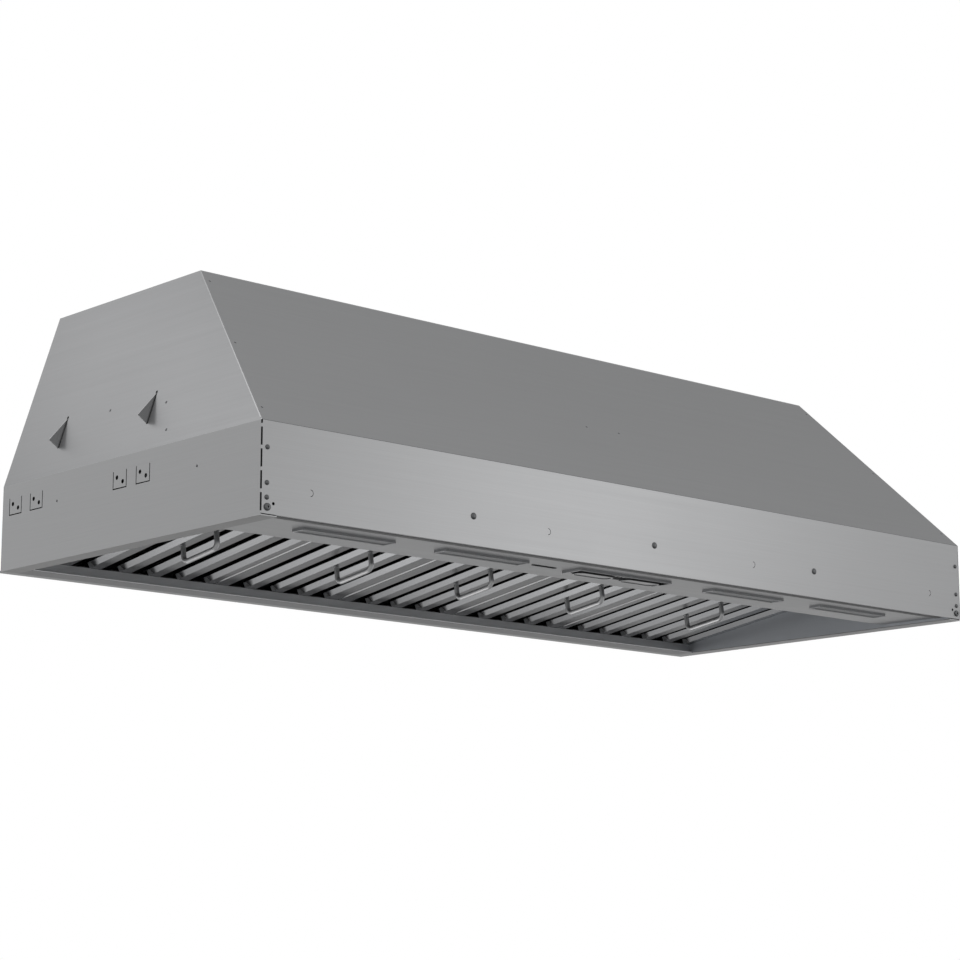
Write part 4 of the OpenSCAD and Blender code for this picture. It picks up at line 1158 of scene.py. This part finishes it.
@dataclass
class MotorTrim:
    """Cooling ribs and an end cap on the motor, and screws on its bracket's arms."""

    y: float = 430.0
    z: float = 237.0
    end_x: float = -104.0
    ribs: int = 24
    rib_r: tuple[float, float] = (16.0, 40.0)
    rib_t: float = 2.4
    rib_h: float = 1.6
    cap: Outline = ((0.0, 2.6), (9.0, 2.6), (12.5, 2.0), (14.0, 0.0))
    arms: int = 3
    arm_x: float = -93.0
    arm_r: float = 86.0
    screw_d: float = 7.0

    def build(self) -> None:
        """Makes the ribs and the cap on the motor's outer end, and the screws."""
        ribs = PieceMaker("motor_end_ribs")
        near, far, half = *self.rib_r, self.rib_t / 2
        for i in range(self.ribs):
            a = 2 * math.pi * i / self.ribs
            outline = [HOOD.at(self.end_x, self.y + r * math.cos(a) - w * math.sin(a),
                               self.z + r * math.sin(a) + w * math.cos(a))
                       for r, w in ((near, -half), (far, -half), (far, half), (near, half))]
            ribs.plate(outline, Vector((-self.rib_h * MM, 0, 0)))
        ribs.lathe(self.cap, HOOD.at(self.end_x, self.y, self.z), Axis.LEFT.turn(), 28)
        ribs.piece(CANOPY, MOTOR_ENAMEL)
        screws = PieceMaker("bracket_screws")
        for i in range(self.arms):
            a = 2 * math.pi * i / self.arms
            spot = HOOD.at(self.arm_x, self.y + self.arm_r * math.sin(a), self.z - self.arm_r * math.cos(a))
            screws.lathe(pan_head(self.screw_d, HOOD.head_h), spot, Axis.LEFT.turn(), 18)
        screws.piece(CANOPY, SPRING_STEEL)


@dataclass(frozen=True)
class SoftLamp:
    """A soft area lamp: its place, what it points at, its face in metres and its power in watts."""

    name: str
    spot: Vector
    target: Vector
    width: float
    height: float
    power: float

    def build(self) -> None:
        """Hangs the lamp."""
        data = bpy.data.lights.new(self.name, "AREA")
        data.shape, data.size, data.size_y, data.energy = "RECTANGLE", self.width, self.height, self.power
        made = bpy.data.objects.new(self.name, data)
        made.location = self.spot
        made.rotation_euler = (self.target - self.spot).to_track_quat("-Z", "Y").to_euler()
        made.visible_camera = False
        bpy.context.scene.collection.objects.link(made)


@dataclass
class Studio:
    """The camera at the photograph's place, the lamps, the white surround and the pale floor."""

    floor_z: float = -1.2
    floor_r: float = 5.0
    fill: float = 0.5
    middle: Vector = field(default_factory=lambda: Vector((0.0, 0.0, 0.15)))
    camera_spot: Vector = field(default_factory=lambda: Vector((-2.7413, -2.9614, -0.6060)))
    camera_tilt: float = math.radians(101.178)
    camera_heading: float = math.radians(-42.15)
    lens: float = 96.27
    low_spots: Outline = ((-1.08, 1.05), (-0.62, 0.93), (-0.16, 0.81), (0.30, 0.69))
    low_z: float = -1.05
    low_aim: Vector = field(default_factory=lambda: Vector((0.2, 0.0, 0.03)))

    def build(self) -> None:
        """Sets up the whole studio."""
        self.camera()
        self.surround()
        self.floor()
        SoftLamp("key_lamp", Vector((-1.9, 2.05, 1.7)), self.middle, 0.6, 0.6, 3.4).build()
        SoftLamp("front_lamp", Vector((1.89, -2.5, 0.6)), self.middle, 0.80, 0.9, 3.5).build()
        for x, y in self.low_spots:
            aim = Vector((x, 0.0, 0.0)) + self.low_aim
            SoftLamp("low_rear_lamp", Vector((x, y, self.low_z)), aim, 0.62, 0.4, 1.15).build()

    def camera(self) -> None:
        """Puts the camera where the photograph was taken from."""
        data = bpy.data.cameras.new("photo_camera")
        data.lens, data.sensor_width, data.clip_end = self.lens, 36.0, 60.0
        made = bpy.data.objects.new("photo_camera", data)
        made.location = self.camera_spot
        made.rotation_euler = (self.camera_tilt, 0.0, self.camera_heading)
        bpy.context.scene.collection.objects.link(made)
        bpy.context.scene.camera = made

    def surround(self) -> None:
        """A white surround to the camera, gloss and clear covers, and a plain soft light elsewhere."""
        world = bpy.data.worlds.new("white_surround")
        world.use_nodes = True
        desk = NodeDesk(world.node_tree)
        rays = desk.add("LightPath")
        seen = desk.maths("MAXIMUM", rays.outputs["Is Camera Ray"], rays.outputs["Is Glossy Ray"])
        seen = desk.maths("MAXIMUM", seen, rays.outputs["Is Transmission Ray"])
        colour = desk.blend(seen, grey(self.fill), grey(1.0))
        desk.feed(colour, world.node_tree.nodes["Background"].inputs["Color"])
        bpy.context.scene.world = world

    def floor(self) -> None:
        """A pale round floor under the camera, which keeps the object's shadow."""
        mesh = bmesh.new()
        bmesh.ops.create_circle(mesh, cap_ends=True, segments=96, radius=self.floor_r)
        data = bpy.data.meshes.new("studio_floor")
        mesh.to_mesh(data)
        mesh.free()
        made = bpy.data.objects.new("studio_floor", data)
        made.location.z = self.floor_z
        bpy.context.scene.collection.objects.link(made)
        data.materials.append(FLOOR_PAINT.material())


def main() -> None:
    """Dresses the frame, and builds each group of pieces and the studio."""
    logging.basicConfig(level=logging.INFO, format="%(message)s")
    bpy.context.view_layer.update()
    dress_frame()
    groups = [FaceHeads(), CatchWires(), DuctTrim(), SeamMarks(), PressMarks(), HandleWelds(), LouvreEnds(),
              UndersideTrim(), LampTrays(), MotorTrim(), Studio()]
    for group in groups:
        group.build()
        LOG.info("built %s", type(group).__name__)
    bpy.context.scene.view_settings.view_transform = "Standard"
    bpy.context.view_layer.update()


if __name__ == "__main__":
    main()
